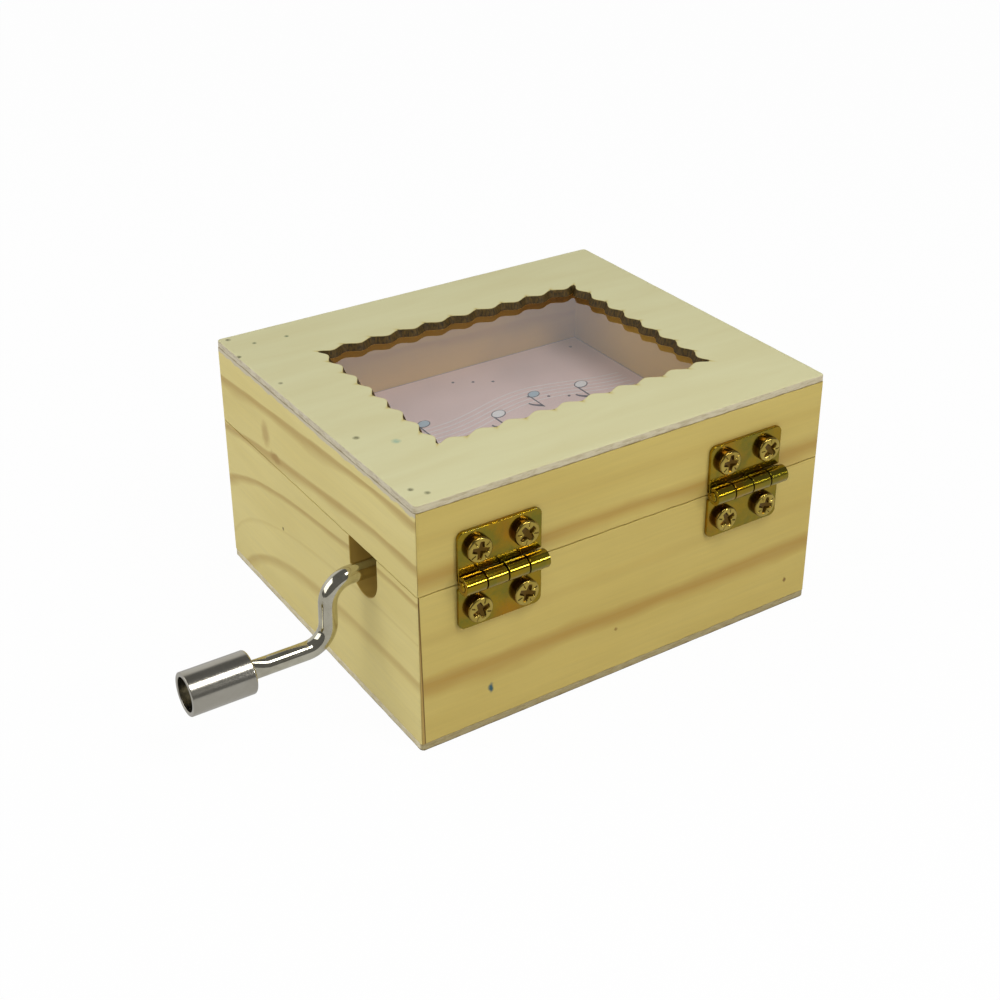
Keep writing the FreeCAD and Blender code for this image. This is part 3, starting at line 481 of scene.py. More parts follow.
panelLook = {
    "pale": (210, 206, 161), "warm": (206, 200, 153), "edgePale": (206, 197, 172), "edgeMid": (182, 170, 142),
    # the darkest edge colour is painted shade along the edge's foot, and the back edge's multiplier is
    # painted shade on the back side
    "edgeShade": (140, 122, 82), "backEdgeShade": (250, 248, 240), "backReach": (38.2, 38.6),
    "char": (48, 36, 8), "scorch": (90, 68, 20), "toast": (198, 184, 120), "middle": 49.25,
    "specks": [((43.1, -37.5), 0.7, (60, 62, 40)), ((44.8, -29.1), 0.8, (62, 66, 44)),
               ((39.4, -33.3), 0.6, (96, 110, 80)), ((32.6, -32.8), 0.6, (110, 122, 88)),
               ((41.5, 12.7), 0.8, (92, 92, 60)), ((36.2, 17.6), 1.1, (150, 176, 150)),
               ((42.6, 33.6), 0.7, (84, 84, 56)), ((40.8, 36.0), 0.7, (90, 94, 62)),
               ((43.0, -14.2), 0.6, (100, 100, 70))],
}
# the bottom panel's edge colours also hold painted shade along the foot and on the back side
bottomLook = dict(panelLook, middle=0.75, specks=[], edgePale=(222, 213, 182), edgeMid=(200, 186, 146),
                  edgeShade=(136, 120, 84), backEdgeShade=(194, 187, 164))
panelFinish = plywoodFinish("plywood_top", panelLook)
bottomFinish = plywoodFinish("plywood_bottom", bottomLook)
boardFinish = plywoodFinish("plywood_picture_board", dict(bottomLook, middle=32.7))


def clearFinish(name, look):
    # a clear sheet: light passes straight through, and the gloss of both faces together grows at low angles
    pane = Finish(bpy.data.materials.new(name))
    entering = pane.math("SUBTRACT", 1.0, pane.node("NewGeometry", {}, "Backfacing"))
    bothFaces = pane.math("MULTIPLY", entering, look["bothFaces"])
    gloss = pane.math("MULTIPLY", pane.node("Fresnel", {"IOR": look["ior"]}), bothFaces)
    through = pane.node("BsdfTransparent", {"Color": look["through"]})
    mirror = pane.node("BsdfGlossy", {"Color": (1, 1, 1, 1), "Roughness": look["rough"]})
    return pane.shown(pane.node("MixShader", {0: gloss, 1: through, 2: mirror}))


def inkFinish(name, tint, mottle, border=None):
    # matt print on card, faintly mottled, darker in a thin line along its outer edge where a border is given
    ink = Finish(bpy.data.materials.new(name))
    grain = ink.noise(ink.spot(), 2.5, 3.0, 0.6)
    cloud = ink.noise(ink.spot(), 0.09, 2.0)
    base = ink.blend(ink.span(cloud, 0.35, 0.65), colour(*tint), colour(*(part * mottle for part in tint)))
    base = ink.shade(base, grain, 0.3, 0.7, 0.98, 1.02)
    if border:
        here = ink.axes(ink.spot())
        outside = [ink.math("SUBTRACT", ink.math("ABSOLUTE", here[axis]), border[axis]) for axis in "XY"]
        dark = ink.span(ink.math("MAXIMUM", *outside), -border["line"], 0.0)
        base = ink.blend(dark, base, colour(*border["tint"]))
    return ink.done(Base_Color=base, Roughness=0.7, Specular_IOR_Level=0.25,
                    Normal=ink.bump(grain, 0.01, 0.3))


def metalFinish(name, look):
    # bare or plated metal: cloudy tarnish, fine scratches along one axis, roughness that follows both, and
    # painted shade where the look asks for it
    metal = Finish(bpy.data.materials.new(name))
    cloud = metal.noise(metal.spot(), look["cloudScale"], 4.0, 0.6, 0.3)
    scratch = metal.noise(metal.spot(look["scratch"]), 1.0, 3.0, 0.6)
    base = metal.blend(metal.span(cloud, 0.38, 0.66), colour(*look["bright"]), colour(*look["dull"]))
    stain = metal.noise(metal.spot(shift=(31, 17, 5)), look["cloudScale"] * 0.6, 3.0)
    stain = metal.math("MULTIPLY", metal.span(stain, 0.55, 0.72), look["stainShare"])
    base = metal.blend(stain, base, colour(*look["stain"]))
    # painted shade on screw heads, where that paint is on
    if "grime" in look:
        base = metal.blend(metal.painted("grime"), base, colour(*look["grime"]))
    rough = metal.math("ADD", metal.span(cloud, 0.35, 0.7, *look["rough"]),
                       metal.span(scratch, 0.4, 0.7, 0.0, 0.05))
    relief = metal.math("ADD", scratch, metal.math("MULTIPLY", cloud, 0.5))
    return metal.done(Base_Color=base, Metallic=1.0, Roughness=rough, Coat_Weight=look["coat"],
                      Coat_Roughness=0.05, Normal=metal.bump(relief, look["relief"], 0.5))


def nylonFinish(name, look):
    # slightly clouded white plastic
    nylon = Finish(bpy.data.materials.new(name))
    cloud = nylon.noise(nylon.spot(), 0.5, 3.0)
    base = nylon.blend(nylon.span(cloud, 0.35, 0.65), colour(*look["bright"]), colour(*look["cloudy"]))
    rough = nylon.span(cloud, 0.3, 0.7, *look["rough"])
    return nylon.done(Base_Color=base, Roughness=rough, Normal=nylon.bump(cloud, 0.02, 0.3))


brassLook = {"cloudScale": 0.22, "scratch": (2.5, 2.5, 2.5), "bright": (170, 138, 12), "dull": (134, 126, 32),
             "stain": (184, 126, 4), "stainShare": 0.7, "rough": (0.1, 0.2), "relief": 0.006, "coat": 0.35}
# screw heads carry painted shade in their cross, ticks and shoulder, and on their sides
screwLook = dict(brassLook, bright=(204, 180, 90), dull=(184, 160, 70), stain=(160, 126, 44),
                 rough=(0.16, 0.26), grime=(90, 60, 8), coat=0.1)
nickelLook = {"cloudScale": 0.25, "scratch": (0.4, 4.0, 4.0), "bright": (214, 210, 192),
              "dull": (194, 189, 170), "stain": (160, 150, 126), "stainShare": 0.35, "rough": (0.05, 0.1),
              "relief": 0.003, "coat": 0.0}
knobLook = dict(nickelLook, cloudScale=0.1, scratch=(5.0, 0.6, 0.6), bright=(192, 188, 176),
                dull=(182, 177, 164), stainShare=0.15, rough=(0.16, 0.2), relief=0.002)
castLook = dict(nickelLook, cloudScale=0.6, scratch=(1.5, 1.5, 1.5), bright=(206, 204, 198),
                dull=(176, 174, 168), stain=(150, 144, 130), rough=(0.34, 0.48), relief=0.04)
combLook = dict(nickelLook, scratch=(0.5, 5.0, 5.0), bright=(214, 216, 220), dull=(186, 188, 194),
                stain=(150, 134, 112), rough=(0.16, 0.3))
steelLook = dict(castLook, bright=(204, 206, 210), dull=(170, 172, 176), rough=(0.24, 0.36), relief=0.01)
drumLook = dict(brassLook, scratch=(4.0, 0.5, 4.0), bright=(224, 200, 120), dull=(200, 170, 90),
                stainShare=0.25)
nylonLook = {"bright": (232, 229, 218), "cloudy": (220, 215, 200), "rough": (0.35, 0.45)}
paneLook = {"bothFaces": 1.85, "ior": 1.49, "through": (0.97, 0.975, 0.97, 1), "rough": 0.02}
hingeBrass = metalFinish("hinge_brass", brassLook)
screwBrass = metalFinish("screw_brass", screwLook)
brightNickel = metalFinish("bright_nickel", nickelLook)
satinNickel = metalFinish("satin_nickel", knobLook)
zincCasting = metalFinish("zinc_casting", castLook)
springSteel = metalFinish("spring_steel", combLook)
screwSteel = metalFinish("screw_steel", steelLook)
drumBrass = metalFinish("drum_brass", drumLook)
whiteNylon = nylonFinish("white_nylon", nylonLook)
clearPane = clearFinish("clear_pane", paneLook)
print("finishes made:", len(bpy.data.materials))


# Case

sides = {
    "front": ((1, 0, 0), (0, -1, 0)),
    "crank": ((0, 1, 0), (1, 0, 0)),
    "back": ((-1, 0, 0), (0, 1, 0)),
    "left": ((0, -1, 0), (-1, 0, 0)),
}
board = {"ease": 0.18, "easeSteps": 5, "corner": 0.7, "cornerSteps": 8, "cornerStart": 0.1, "alongSteps": 48,
         "wave": 0.035, "waveTurns": (0.9, 2.3), "mitreZone": 0.2}
boxHigh = nodeBox("lid_top_panel")[1]


def boardOutline(halfRun, bottom, rim, notched):
    # bottom edge, then back along the rim, dipping into a drilled and sawn notch where there is one
    share = np.linspace(-1, 1, board["alongSteps"])
    lower = np.stack([share * halfRun, np.full_like(share, bottom)], 1)
    upper = np.stack([-share * halfRun, np.full_like(share, rim)], 1)
    if notched:
        radius = crankNotch["radius"]
        turn = np.linspace(0, -np.pi, crankNotch["steps"])
        drilled = np.stack([shaftY + radius * np.cos(turn), crankNotch["middle"] + radius * np.sin(turn)], 1)
        before, after = upper[:, 0] > shaftY + radius, upper[:, 0] < shaftY - radius
        upper = np.concatenate([upper[before], [(shaftY + radius, rim)], drilled, [(shaftY - radius, rim)],
                                upper[after]])
    outline = np.concatenate([lower, upper])
    slow, quick = board["waveTurns"]
    outline[:, 1] += board["wave"] * (np.sin(outline[:, 0] * slow) + np.sin(outline[:, 0] * quick + 1))
    return outline


def mitredBoard(name, side, notched=False):
    # the outline goes inwards from the outer face; edges are eased, and the ends follow a round corner,
    # then the mitre
    low, high = nodeBox(name)
    along, outward = (np.array(axis, float) for axis in sides[side])
    halfRun, face = np.abs(along) @ boxHigh, np.abs(outward) @ boxHigh
    thick = np.abs(outward) @ (high - low)
    outline = boardOutline(halfRun, low[2], high[2], notched)
    ease, corner = board["ease"], board["corner"]
    easing = ease * (1 - np.cos(np.linspace(0, np.pi / 2, board["easeSteps"])))
    rounding = corner * (1 - np.cos(np.linspace(board["cornerStart"], np.pi / 2, board["cornerSteps"])))
    depth = np.unique(np.round(np.concatenate([easing, rounding, thick - easing]), 5))
    fromFace = np.minimum(depth, thick - depth)
    inset = ease - np.sqrt(np.maximum(ease ** 2 - np.maximum(ease - fromFace, 0) ** 2, 0))
    roundEnd = halfRun - corner + np.sqrt(np.maximum(corner ** 2 - (corner - depth) ** 2, 0))
    halfAt = np.where(depth < corner * (1 - np.sqrt(0.5)), roundEnd, halfRun - depth)
    zone = board["mitreZone"]
    atEnd = np.clip((np.abs(outline[:, 0]) / halfRun - 1 + zone) / zone, 0, 1)
    step = inwardStep(outline) * np.stack([1 - atEnd, np.ones_like(atEnd)], 1)
    ring = outline[None] + inset[:, None, None] * step[None]
    shift = np.sign(outline[:, 0]) * atEnd * (halfAt - halfRun)[:, None]
    sunk = np.broadcast_to(-depth[:, None], ring.shape[:2])
    local = np.stack([ring[..., 0] + shift, ring[..., 1], sunk], 2)
    return solid(placed(local, face * outward, along, (0, 0, 1), outward))


for side in sides:
    for level, kind in (("base", "wall"), ("lid", "rail")):
        name = f"{level}_{side}_{kind}"
        part = mitredBoard(name, side, notched=name == "base_crank_wall")
        label = f"{level}{side.capitalize()}{kind.capitalize()}"
        newPiece(label, [part], level, [pineFinishes[side]], [name])

window = {"halfLength": 30.9, "halfWidth": 22.9, "shift": (0.0, -0.3), "taper": 0.55, "leanMost": 1.5,
          "scallopsLong": 10, "scallopsShort": 8, "swell": 1.2, "tip": 1.3, "pointsEach": 14, "rim": 0.08,
          "cutRows": 5, "notchFall": 2.5,
          "scorchRows": ((0.004, 0.35, 1.0), (0.012, 0.1, 0.8), (0.03, 0.0, 0.5), (0.06, 0.0, 0.15))}
panel = {"edge": 0.22, "corner": 0.9, "ragged": 0.05, "raggedTurns": (71, 23),
         "faceShares": (0.1, 0.2, 0.4, 0.7, 0.95)}


def loopSides(halfLength, halfWidth):
    # start, run, inward direction and number of waves of the four sides, anticlockwise
    start = rectangle((-halfLength, -halfWidth), (halfLength, halfWidth))
    run = np.roll(start, -1, axis=0) - start
    inward = np.array([(0, 1), (-1, 0), (0, -1), (1, 0)], float)
    return zip(start, run, inward, (window["scallopsLong"], window["scallopsShort"]) * 2)


def roundCorners(loop, halves, radius):
    # points that lie beyond an arc in a corner of the rectangle are drawn back to it
    half = np.array(halves) - radius
    over = np.maximum(np.abs(loop) - half, 0)
    far = np.linalg.norm(over, axis=1, keepdims=True)
    corner = (over > 0).all(axis=1, keepdims=True)
    drawn = np.sign(loop) * (half + over / np.maximum(far, 1e-9) * np.minimum(far, radius))
    return np.where(corner, drawn, loop)


def scallopedLoop():
    # smooth waves, the square of a sine, swell into the window from a straight side; corner tips are blunt
    halves = window["halfLength"], window["halfWidth"]
    loop, notch = [], []
    for start, run, inward, count in loopSides(*halves):
        share = np.arange(count * window["pointsEach"]) / (count * window["pointsEach"])
        wave = np.sin(np.pi * count * share)
        loop.append(start + share[:, None] * run + window["swell"] * wave[:, None] ** 2 * inward)
        notch.append(np.clip(1 - window["notchFall"] * np.abs(wave), 0, 1))
    return roundCorners(np.concatenate(loop), halves, window["tip"]), np.concatenate(notch)


def outerLoop(halfLength, halfWidth):
    # as many points on a rectangle with round corners and a slightly uneven edge
    slow, quick = panel["raggedTurns"]
    loop = []
    for start, run, inward, count in loopSides(halfLength, halfWidth):
        share = np.arange(count * window["pointsEach"]) / (count * window["pointsEach"])
        uneven = panel["ragged"] * (np.sin(share * slow) * np.sin(share * quick + 1) + 1) / 2
        loop.append(start + share[:, None] * run + uneven[:, None] * inward)
    return roundCorners(np.concatenate(loop), (halfLength, halfWidth), panel["corner"])


def windowPanel(name):
    # rings from the window's rim over the top face, down the outer edge, back underneath and up the cut,
    # which leans into the window on its way down; the burn is strongest in the notches and fades from the rim
    low, high = nodeBox(name)
    (inner, notch), outer = scallopedLoop(), outerLoop(high[0], high[1])
    taper = window["taper"] * np.clip(inwardStep(inner), -window["leanMost"], window["leanMost"])
    inner = inner + window["shift"]
    rows, burn, edge = [], [], []

    def addRow(outline, level, burnt, edged=0.0):
        rows.append(np.concatenate([outline, np.full((len(outline), 1), level)], 1))
        burn.append(np.broadcast_to(burnt, len(outline)))
        edge.append(np.full(len(outline), edged))

    def faceRows(rim, level):
        made = [(rim + (outer - rim) * share, level, np.maximum(lobe, notch * cusp))
                for share, lobe, cusp in window["scorchRows"]]
        return made + [(rim + (outer - rim) * share, level, 0.0) for share in panel["faceShares"]]

    rimLevel = high[2] - window["rim"]
    addRow(inner, rimLevel, 1.0)
    for row in faceRows(inner, high[2]):
        addRow(*row)
    levels, insets = quarterRows(low[2], high[2], panel["edge"])
    for level, inset in zip(levels[::-1], insets[::-1]):
        onFace = level > high[2] - 0.5 * panel["edge"]
        addRow(outer + inwardStep(outer) * inset, level, 0.0, 0.0 if onFace else 1.0)
    for row in faceRows(inner + taper, low[2])[::-1]:
        addRow(*row)
    for share in np.arange(window["cutRows"]) / window["cutRows"]:
        addRow(inner + taper * (1 - share), low[2] + share * (rimLevel - low[2]), 1.0)
    return surface(np.stack(rows), closedRows=True, burn=np.stack(burn), edge=np.stack(edge))


def plainPanel(name):
    # a slab with an eased, slightly uneven edge
    low, high = nodeBox(name)
    grid = roundedSlab(outerLoop(high[0], high[1]), low[2], high[2], panel["edge"])
    insets = quarterRows(low[2], high[2], panel["edge"])[1]
    return solid(grid, edge=np.where(insets < panel["edge"], 1.0, 0.0)[:, None])


newPiece("lidTopPanel", [windowPanel("lid_top_panel")], "lid", [panelFinish], ["lid_top_panel"])
newPiece("baseBottomPanel", [plainPanel("base_bottom_panel")], "base", [bottomFinish],
         ["base_bottom_panel"])

paneSheet = {"spare": 0.05, "corner": 0.3, "edge": 0.05}
pictureSheet = {"corner": 0.3, "edge": 0.1}
paneLow, paneHigh = nodeBox("window_pane")
paneGrid = boxSlab(paneLow + paneSheet["spare"], paneHigh - paneSheet["spare"], paneSheet["corner"],
                   paneSheet["edge"])
newPiece("windowPane", [solid(paneGrid)], "lid", [clearPane], ["window_pane"])
pictureGrid = boxSlab(*nodeBox("picture_board"), pictureSheet["corner"], pictureSheet["edge"])
newPiece("pictureBoard", [solid(pictureGrid)], "lid", [boardFinish], ["picture_board"])

cardLow, cardHigh = nodeBox("picture_card")
cardBorder = {"X": cardHigh[0], "Y": cardHigh[1], "line": 0.45, "tint": (104, 84, 74)}
cardInks = [inkFinish("card_pink", (231, 203, 199), 0.97, cardBorder),
            inkFinish("ink_white", (238, 236, 238), 0.99),
            inkFinish("ink_blue", (168, 190, 206), 0.98),
            inkFinish("ink_dark", (72, 64, 78), 0.95)]
white, blue, dark = 1, 2, 3  # places in cardInks
cardArt = {
    "corner": 0.3, "edge": 0.02, "lift": 0.03, "staves": (-13.0, 7.0), "staveInset": 3.0, "staveLines": 5,
    "staveStep": 1.5, "stavePoints": 90, "line": 0.16, "wave": 2.2, "waveLength": 46.0,
    "dots": 26, "dotRadius": 0.34, "dotField": (66, 54), "dotTurns": (0.618034, 0.754878),
    "notes": [((-24, -10.5), 1.25, white), ((-13, -12), 1.1, blue), ((-2, -8.5), 1.3, white),
              ((13, -13), 1.15, blue), ((24, -9), 1.2, white), ((-19, 8), 1.15, blue),
              ((-7, 11.5), 1.2, white), ((6, 7.5), 1.1, blue), ((20, 11), 1.25, white)],
}
noteShape = {"head": (1.25, 0.9), "rim": (1.42, 1.07), "tilt": 0.5, "foot": (1.15, 0.35), "stem": (0.0, 5.0),
             "stemHalf": (0.14, 0.0), "flagSteps": 14, "flagTurn": 1.6, "flagUpper": (1.9, -2.6, 0.0),
             "flagLower": (1.6, -1.75, -1.0)}


def flatMotif(outline, level, finish):
    # a printed shape, raised by its ink
    return solid(roundedSlab(outline, level, level + cardArt["lift"], 0.0, 2), finish=finish)


def staveLine(number, middle, level):
    # a ribbon that follows a sine wave across the card
    along = np.linspace(cardLow[0] + cardArt["staveInset"], cardHigh[0] - cardArt["staveInset"],
                        cardArt["stavePoints"])
    wave = cardArt["wave"] * np.sin(2 * np.pi * along / cardArt["waveLength"])
    centre = middle + number * cardArt["staveStep"] + wave
    upper = np.stack([along, centre + cardArt["line"] / 2], 1)
    lower = np.stack([along, centre - cardArt["line"] / 2], 1)
    return flatMotif(np.concatenate([lower, upper[::-1]]), level, white)


def ovalOutline(place, reach, tilt, steps=28):
    # the cosine and the sine of a full turn, stretched, tilted and moved to its place
    turn = np.linspace(0, 2 * np.pi, steps, endpoint=False)
    oval = np.stack([reach[0] * np.cos(turn), reach[1] * np.sin(turn)], 1)
    spin = np.array([(np.cos(tilt), np.sin(tilt)), (-np.sin(tilt), np.cos(tilt))])
    return oval @ spin + place


def noteMotif(place, size, ink, level):
    # an oval head with a dark rim, a stem and a flag that follows a sine between two edges
    def sized(key):
        return size * np.array(noteShape[key])

    def flagEdge(key):
        wide, fall, start = sized(key)
        return top + np.stack([wide * np.sin(sweep * noteShape["flagTurn"]), start + fall * sweep], 1)

    head = ovalOutline(place, sized("head"), noteShape["tilt"])
    rim = ovalOutline(place, sized("rim"), noteShape["tilt"])
    foot = place + sized("foot")
    top = foot + sized("stem")
    stem = rectangle(foot - sized("stemHalf"), top + sized("stemHalf"))
    sweep = np.linspace(0, 1, noteShape["flagSteps"])
    flag = np.concatenate([flagEdge("flagUpper"), flagEdge("flagLower")[::-1]])
    parts = [flatMotif(outline, level, dark) for outline in (rim, stem, flag)]
    return parts + [flatMotif(head, level + cardArt["lift"], ink)]


def printedCard():
    # the sheet, its staves, the notes over them, and dots spread by two irrational steps
    level = cardHigh[2]
    parts = [solid(boxSlab(cardLow, cardHigh, cardArt["corner"], cardArt["edge"]))]
    for middle in cardArt["staves"]:
        parts += [staveLine(number, middle, level) for number in range(cardArt["staveLines"])]
    for place, size, ink in cardArt["notes"]:
        parts += noteMotif(place, size, ink, level + cardArt["lift"])
    count = np.arange(cardArt["dots"])[:, None]
    spots = ((count * cardArt["dotTurns"]) % 1 - 0.5) * cardArt["dotField"]
    reach = (cardArt["dotRadius"], cardArt["dotRadius"])
    return parts + [flatMotif(ovalOutline(spot, reach, 0.0, 14), level, dark) for spot in spots]


newPiece("pictureCard", printedCard(), "lid", cardInks, ["picture_card"])
print("case made")


# Hinges

hinge = {"gap": 0.3, "foot": 0.2, "notch": 1.42, "notchCorner": 0.2, "shoulderCorner": 0.3, "sheet": 0.8,
         "corner": 1.35, "edge": 0.16, "roll": 0.6, "curlStart": 180, "curlEnd": 488, "curlSteps": 56,
         "knuckleEdge": 0.1, "bore": 0.95}


def hingeLeaf(place, leaf):
    # a stamped plate whose two tongues are rolled round the pin
    low, high = nodeBox(f"{place}_hinge_{leaf}_leaf")
    axis = sum(nodeBox(f"{place}_hinge_pin")) / 2
    flip = 1 if leaf == "lid" else -1
    half = (high - low)[0] / 2
    reach = high[2] - axis[2] if leaf == "lid" else axis[2] - low[2]
    radius = high[1] - axis[1]
    length = (2 * half - 3 * hinge["gap"]) / 4
    step = length + hinge["gap"]
    foot, clear = hinge["foot"], hinge["notch"]
    first, second = half - length, half - length - 2 * step
    corners = [(half, foot), (half, reach), (-half, reach), (-half, clear), (second, clear), (second, foot),
               (half - 2 * step, foot), (half - 2 * step, clear), (first, clear), (first, foot)]
    notch = hinge["notchCorner"]
    radii = [0, hinge["corner"], hinge["corner"], hinge["shoulderCorner"], notch, 0, 0, notch, notch, 0]
    plate = roundedSlab(eased(corners, radii, 8), low[1], low[1] + hinge["sheet"], hinge["edge"])
    parts = [solid(placed(plate, axis * (1, 0, 1), (flip, 0, 0), (0, 0, flip), (0, 1, 0)))]
    turn = np.radians(np.linspace(hinge["curlStart"], hinge["curlEnd"], hinge["curlSteps"]))
    circle = np.stack([np.cos(turn), np.sin(turn)], 1)
    tongueEnd = clear + hinge["roll"]
    tongue = [(low[1] + hinge["sheet"] - axis[1], tongueEnd), (-radius, tongueEnd)]
    curl = np.concatenate([radius * circle, hinge["bore"] * circle[::-1], tongue])
    for start in (first, second):
        knuckle = roundedSlab(curl, start, start + length, hinge["knuckleEdge"])
        parts.append(solid(placed(knuckle, axis, (0, 1, 0), (0, 0, flip), (flip, 0, 0))))
    return parts


pinEnd = {"dome": 0.25, "domeSteps": 5, "steps": 40}


def hingePin(place):
    # a round bar with domed ends
    low, high = nodeBox(f"{place}_hinge_pin")
    radius, dome = (high - low)[2] / 2, pinEnd["dome"]
    middle, half = (low + high) / 2, (high - low)[0] / 2
    turn = np.linspace(0, np.pi / 2, pinEnd["domeSteps"])
    end = np.stack([half - dome + dome * np.cos(turn), radius * np.sin(turn)], 1)
    profile = np.concatenate([end * (-1, 1), end[::-1]])
    return surface(revolved(profile, middle, (1, 0, 0), pinEnd["steps"]))


screwHead = {"columns": 128, "flat": (0.8, 24), "rim": (0.83, 10), "dome": 0.1, "shoulder": 0.16,
             "shoulderFall": 0.28, "arm": 0.66, "armHalf": 0.25, "armTaper": 0.4, "wall": 0.05, "recess": 0.4,
             "floorRise": 0.45,
             "tick": 0.035, "tickSoft": 0.03, "tickStart": 0.52, "tickEnd": 0.86, "tickDepth": 0.1,
             # painted shade: how dark the cross, the ticks and the shoulder are painted
             "grime": {"cross": 0.9, "tick": 0.6, "shoulder": 0.8}}


def screwSurface(seat, radius, height, turn, u, v, w):
    # height over a disc: low dome, round shoulder, a cross sunk where the smaller of |x| and |y| is under
    # half an arm's width, and a fine tick on each diagonal
    flatEnd, flatRows = screwHead["flat"]
    rimStart, rimRows = screwHead["rim"]
    share = np.concatenate([np.linspace(0, flatEnd, flatRows), np.linspace(rimStart, 1, rimRows)])[:, None]
    angle = np.linspace(0, 2 * np.pi, screwHead["columns"], endpoint=False)[None]
    x, y = share * np.cos(angle - turn), share * np.sin(angle - turn)
    small, large = np.minimum(np.abs(x), np.abs(y)), np.maximum(np.abs(x), np.abs(y))
    over = np.clip((share - 1 + screwHead["shoulder"]) / screwHead["shoulder"], 0, 1)
    level = 1 - screwHead["dome"] * share ** 2 - screwHead["shoulderFall"] * (1 - np.sqrt(1 - over ** 2))
    out = large / screwHead["arm"]
    half = screwHead["armHalf"] * (1 - screwHead["armTaper"] * out)
    across = np.clip((half - small) / screwHead["wall"] + 0.5, 0, 1)
    along = np.clip((screwHead["arm"] - large) / screwHead["wall"] + 0.5, 0, 1)
    cross = across * along
    level = level - screwHead["recess"] * cross * (1 - screwHead["floorRise"] * out ** 2)
    diagonal = (large - small) / np.sqrt(2)
    tick = np.clip((screwHead["tick"] - diagonal) / screwHead["tickSoft"] + 0.5, 0, 1)
    tick = tick * (share > screwHead["tickStart"]) * (share < screwHead["tickEnd"])
    level = level - screwHead["tickDepth"] * tick
    disc = np.stack([radius * share * np.cos(angle), radius * share * np.sin(angle), height * level], 2)
    skirt = disc[-1:] * (1, 1, 0)
    # painted shade: the cross, the ticks and the shoulder are darkened, and the skirt all over
    most = screwHead["grime"]
    shadedHead = np.maximum(np.maximum(most["cross"] * cross, most["tick"] * tick), most["shoulder"] * over ** 2)
    grime = np.concatenate([shadedHead, np.ones((1, screwHead["columns"]))])
    return surface(placed(np.concatenate([disc, skirt]), seat, u, v, w), caps="last", grime=grime)


hingeScrews = {"side": 4.75, "rise": {"lid": 6.0, "base": -6.0}, "turnStart": {"lid": 4.5, "base": 0.35},
               "turnStep": 0.83}


def hingeScrewRow(owner):
    # two screws in each leaf, every cross at another turn
    high = nodeBox(f"{owner}_hinge_screws")[1]
    parts = []
    for place in ("crank_side", "far"):
        axis = sum(nodeBox(f"{place}_hinge_pin")) / 2
        leafLow = nodeBox(f"{place}_hinge_{owner}_leaf")[0]
        for side in (1, -1):
            seat = np.array([axis[0] + side * hingeScrews["side"], leafLow[1] + hinge["sheet"],
                             axis[2] + hingeScrews["rise"][owner]])
            height, radius = (high - seat)[1:]
            turn = hingeScrews["turnStart"][owner] + hingeScrews["turnStep"] * len(parts)
            parts.append(screwSurface(seat, radius, height, turn, (-1, 0, 0), (0, 0, 1), (0, 1, 0)))
    return parts


for place, label in (("crank_side", "crankSideHinge"), ("far", "farHinge")):
    for leaf in ("lid", "base"):
        newPiece(f"{label}{leaf.capitalize()}Leaf", hingeLeaf(place, leaf), leaf, [hingeBrass],
                 [f"{place}_hinge_{leaf}_leaf"])
    newPiece(f"{label}Pin", [hingePin(place)], "base", [hingeBrass], [f"{place}_hinge_pin"])
for owner in ("lid", "base"):
    newPiece(f"{owner}HingeScrews", hingeScrewRow(owner), owner, [screwBrass],
             [f"{owner}_hinge_screws"])
print("hinges made")


# Crank

crank = {"shoulder": (29.6, 30.0), "armRadius": 1.72, "armStart": 52.2, "armEnd": 52.5, "bend": 4.6,
         "bendSteps": 22, "earStart": 64.6, "earEnd": 67.7, "earReach": 2.1, "earThick": 0.95, "earSteps": 14,
         "reachPower": 1.1, "thickPower": 1.3, "neck": 0.12, "peen": 2.2, "peenRise": 1.1, "peenSteps": 8,
         "steps": 40}


def crankRod():
    # rings along a bent path that is thicker past a shoulder; their two half-axes pinch into flat ears near
    # the knob and spread into the peened end
    low, high = nodeBox("crank_rod")
    handleZ = (sum(nodeBox("crank_knob")) / 2)[2]
    radius, arm = high[2] - shaftZ, crank["armRadius"]
    webEnd = high[0] - crank["peenRise"]
    corners = [(low[0], shaftZ), (crank["armStart"], shaftZ), (crank["armEnd"], handleZ), (webEnd, handleZ)]
    bent = eased(corners, [0, crank["bend"], crank["bend"], 0], crank["bendSteps"])
    ears = np.linspace(0, 1, crank["earSteps"])
    earX = crank["earStart"] + ears * (crank["earEnd"] - crank["earStart"])
    tail = np.array([crank["earEnd"] + crank["neck"], webEnd])
    dome = np.linspace(0, np.pi / 2, crank["peenSteps"])
    domeX = webEnd + crank["peenRise"] * np.sin(dome)
    x = np.concatenate([bent[:1, 0], crank["shoulder"], bent[1:-1, 0], earX, tail, domeX])
    straight = len(earX) + len(tail) + len(dome)
    z = np.concatenate([np.full(3, shaftZ), bent[1:-1, 1], np.full(straight, handleZ)])
    plain = np.append([radius, radius], np.full(len(bent) - 1, arm))
    end = np.append(np.full(len(tail), radius), crank["peen"] * np.cos(dome))
    wide = np.concatenate([plain, arm + (crank["earThick"] - arm) * ears ** crank["thickPower"], end])
    tall = np.concatenate([plain, arm + (crank["earReach"] - arm) * ears ** crank["reachPower"], end])
    tangent = unit(np.gradient(np.stack([x, z], 1), axis=0))
    tangent[len(plain):] = (1, 0)
    turn = np.linspace(0, 2 * np.pi, crank["steps"], endpoint=False)
    lift = tall[:, None] * np.sin(turn)
    grid = np.stack([x[:, None] - lift * tangent[:, 1:], shaftY + wide[:, None] * np.cos(turn),
                     z[:, None] + lift * tangent[:, :1]], 2)
    return surface(grid, caps="first")


knob = {"bore": 1.55, "cup": 3.15, "cupDepth": 4.6, "edges": [0.05, 0.4, 0.16, 0.12, 0.5, 0.05], "steps": 80}


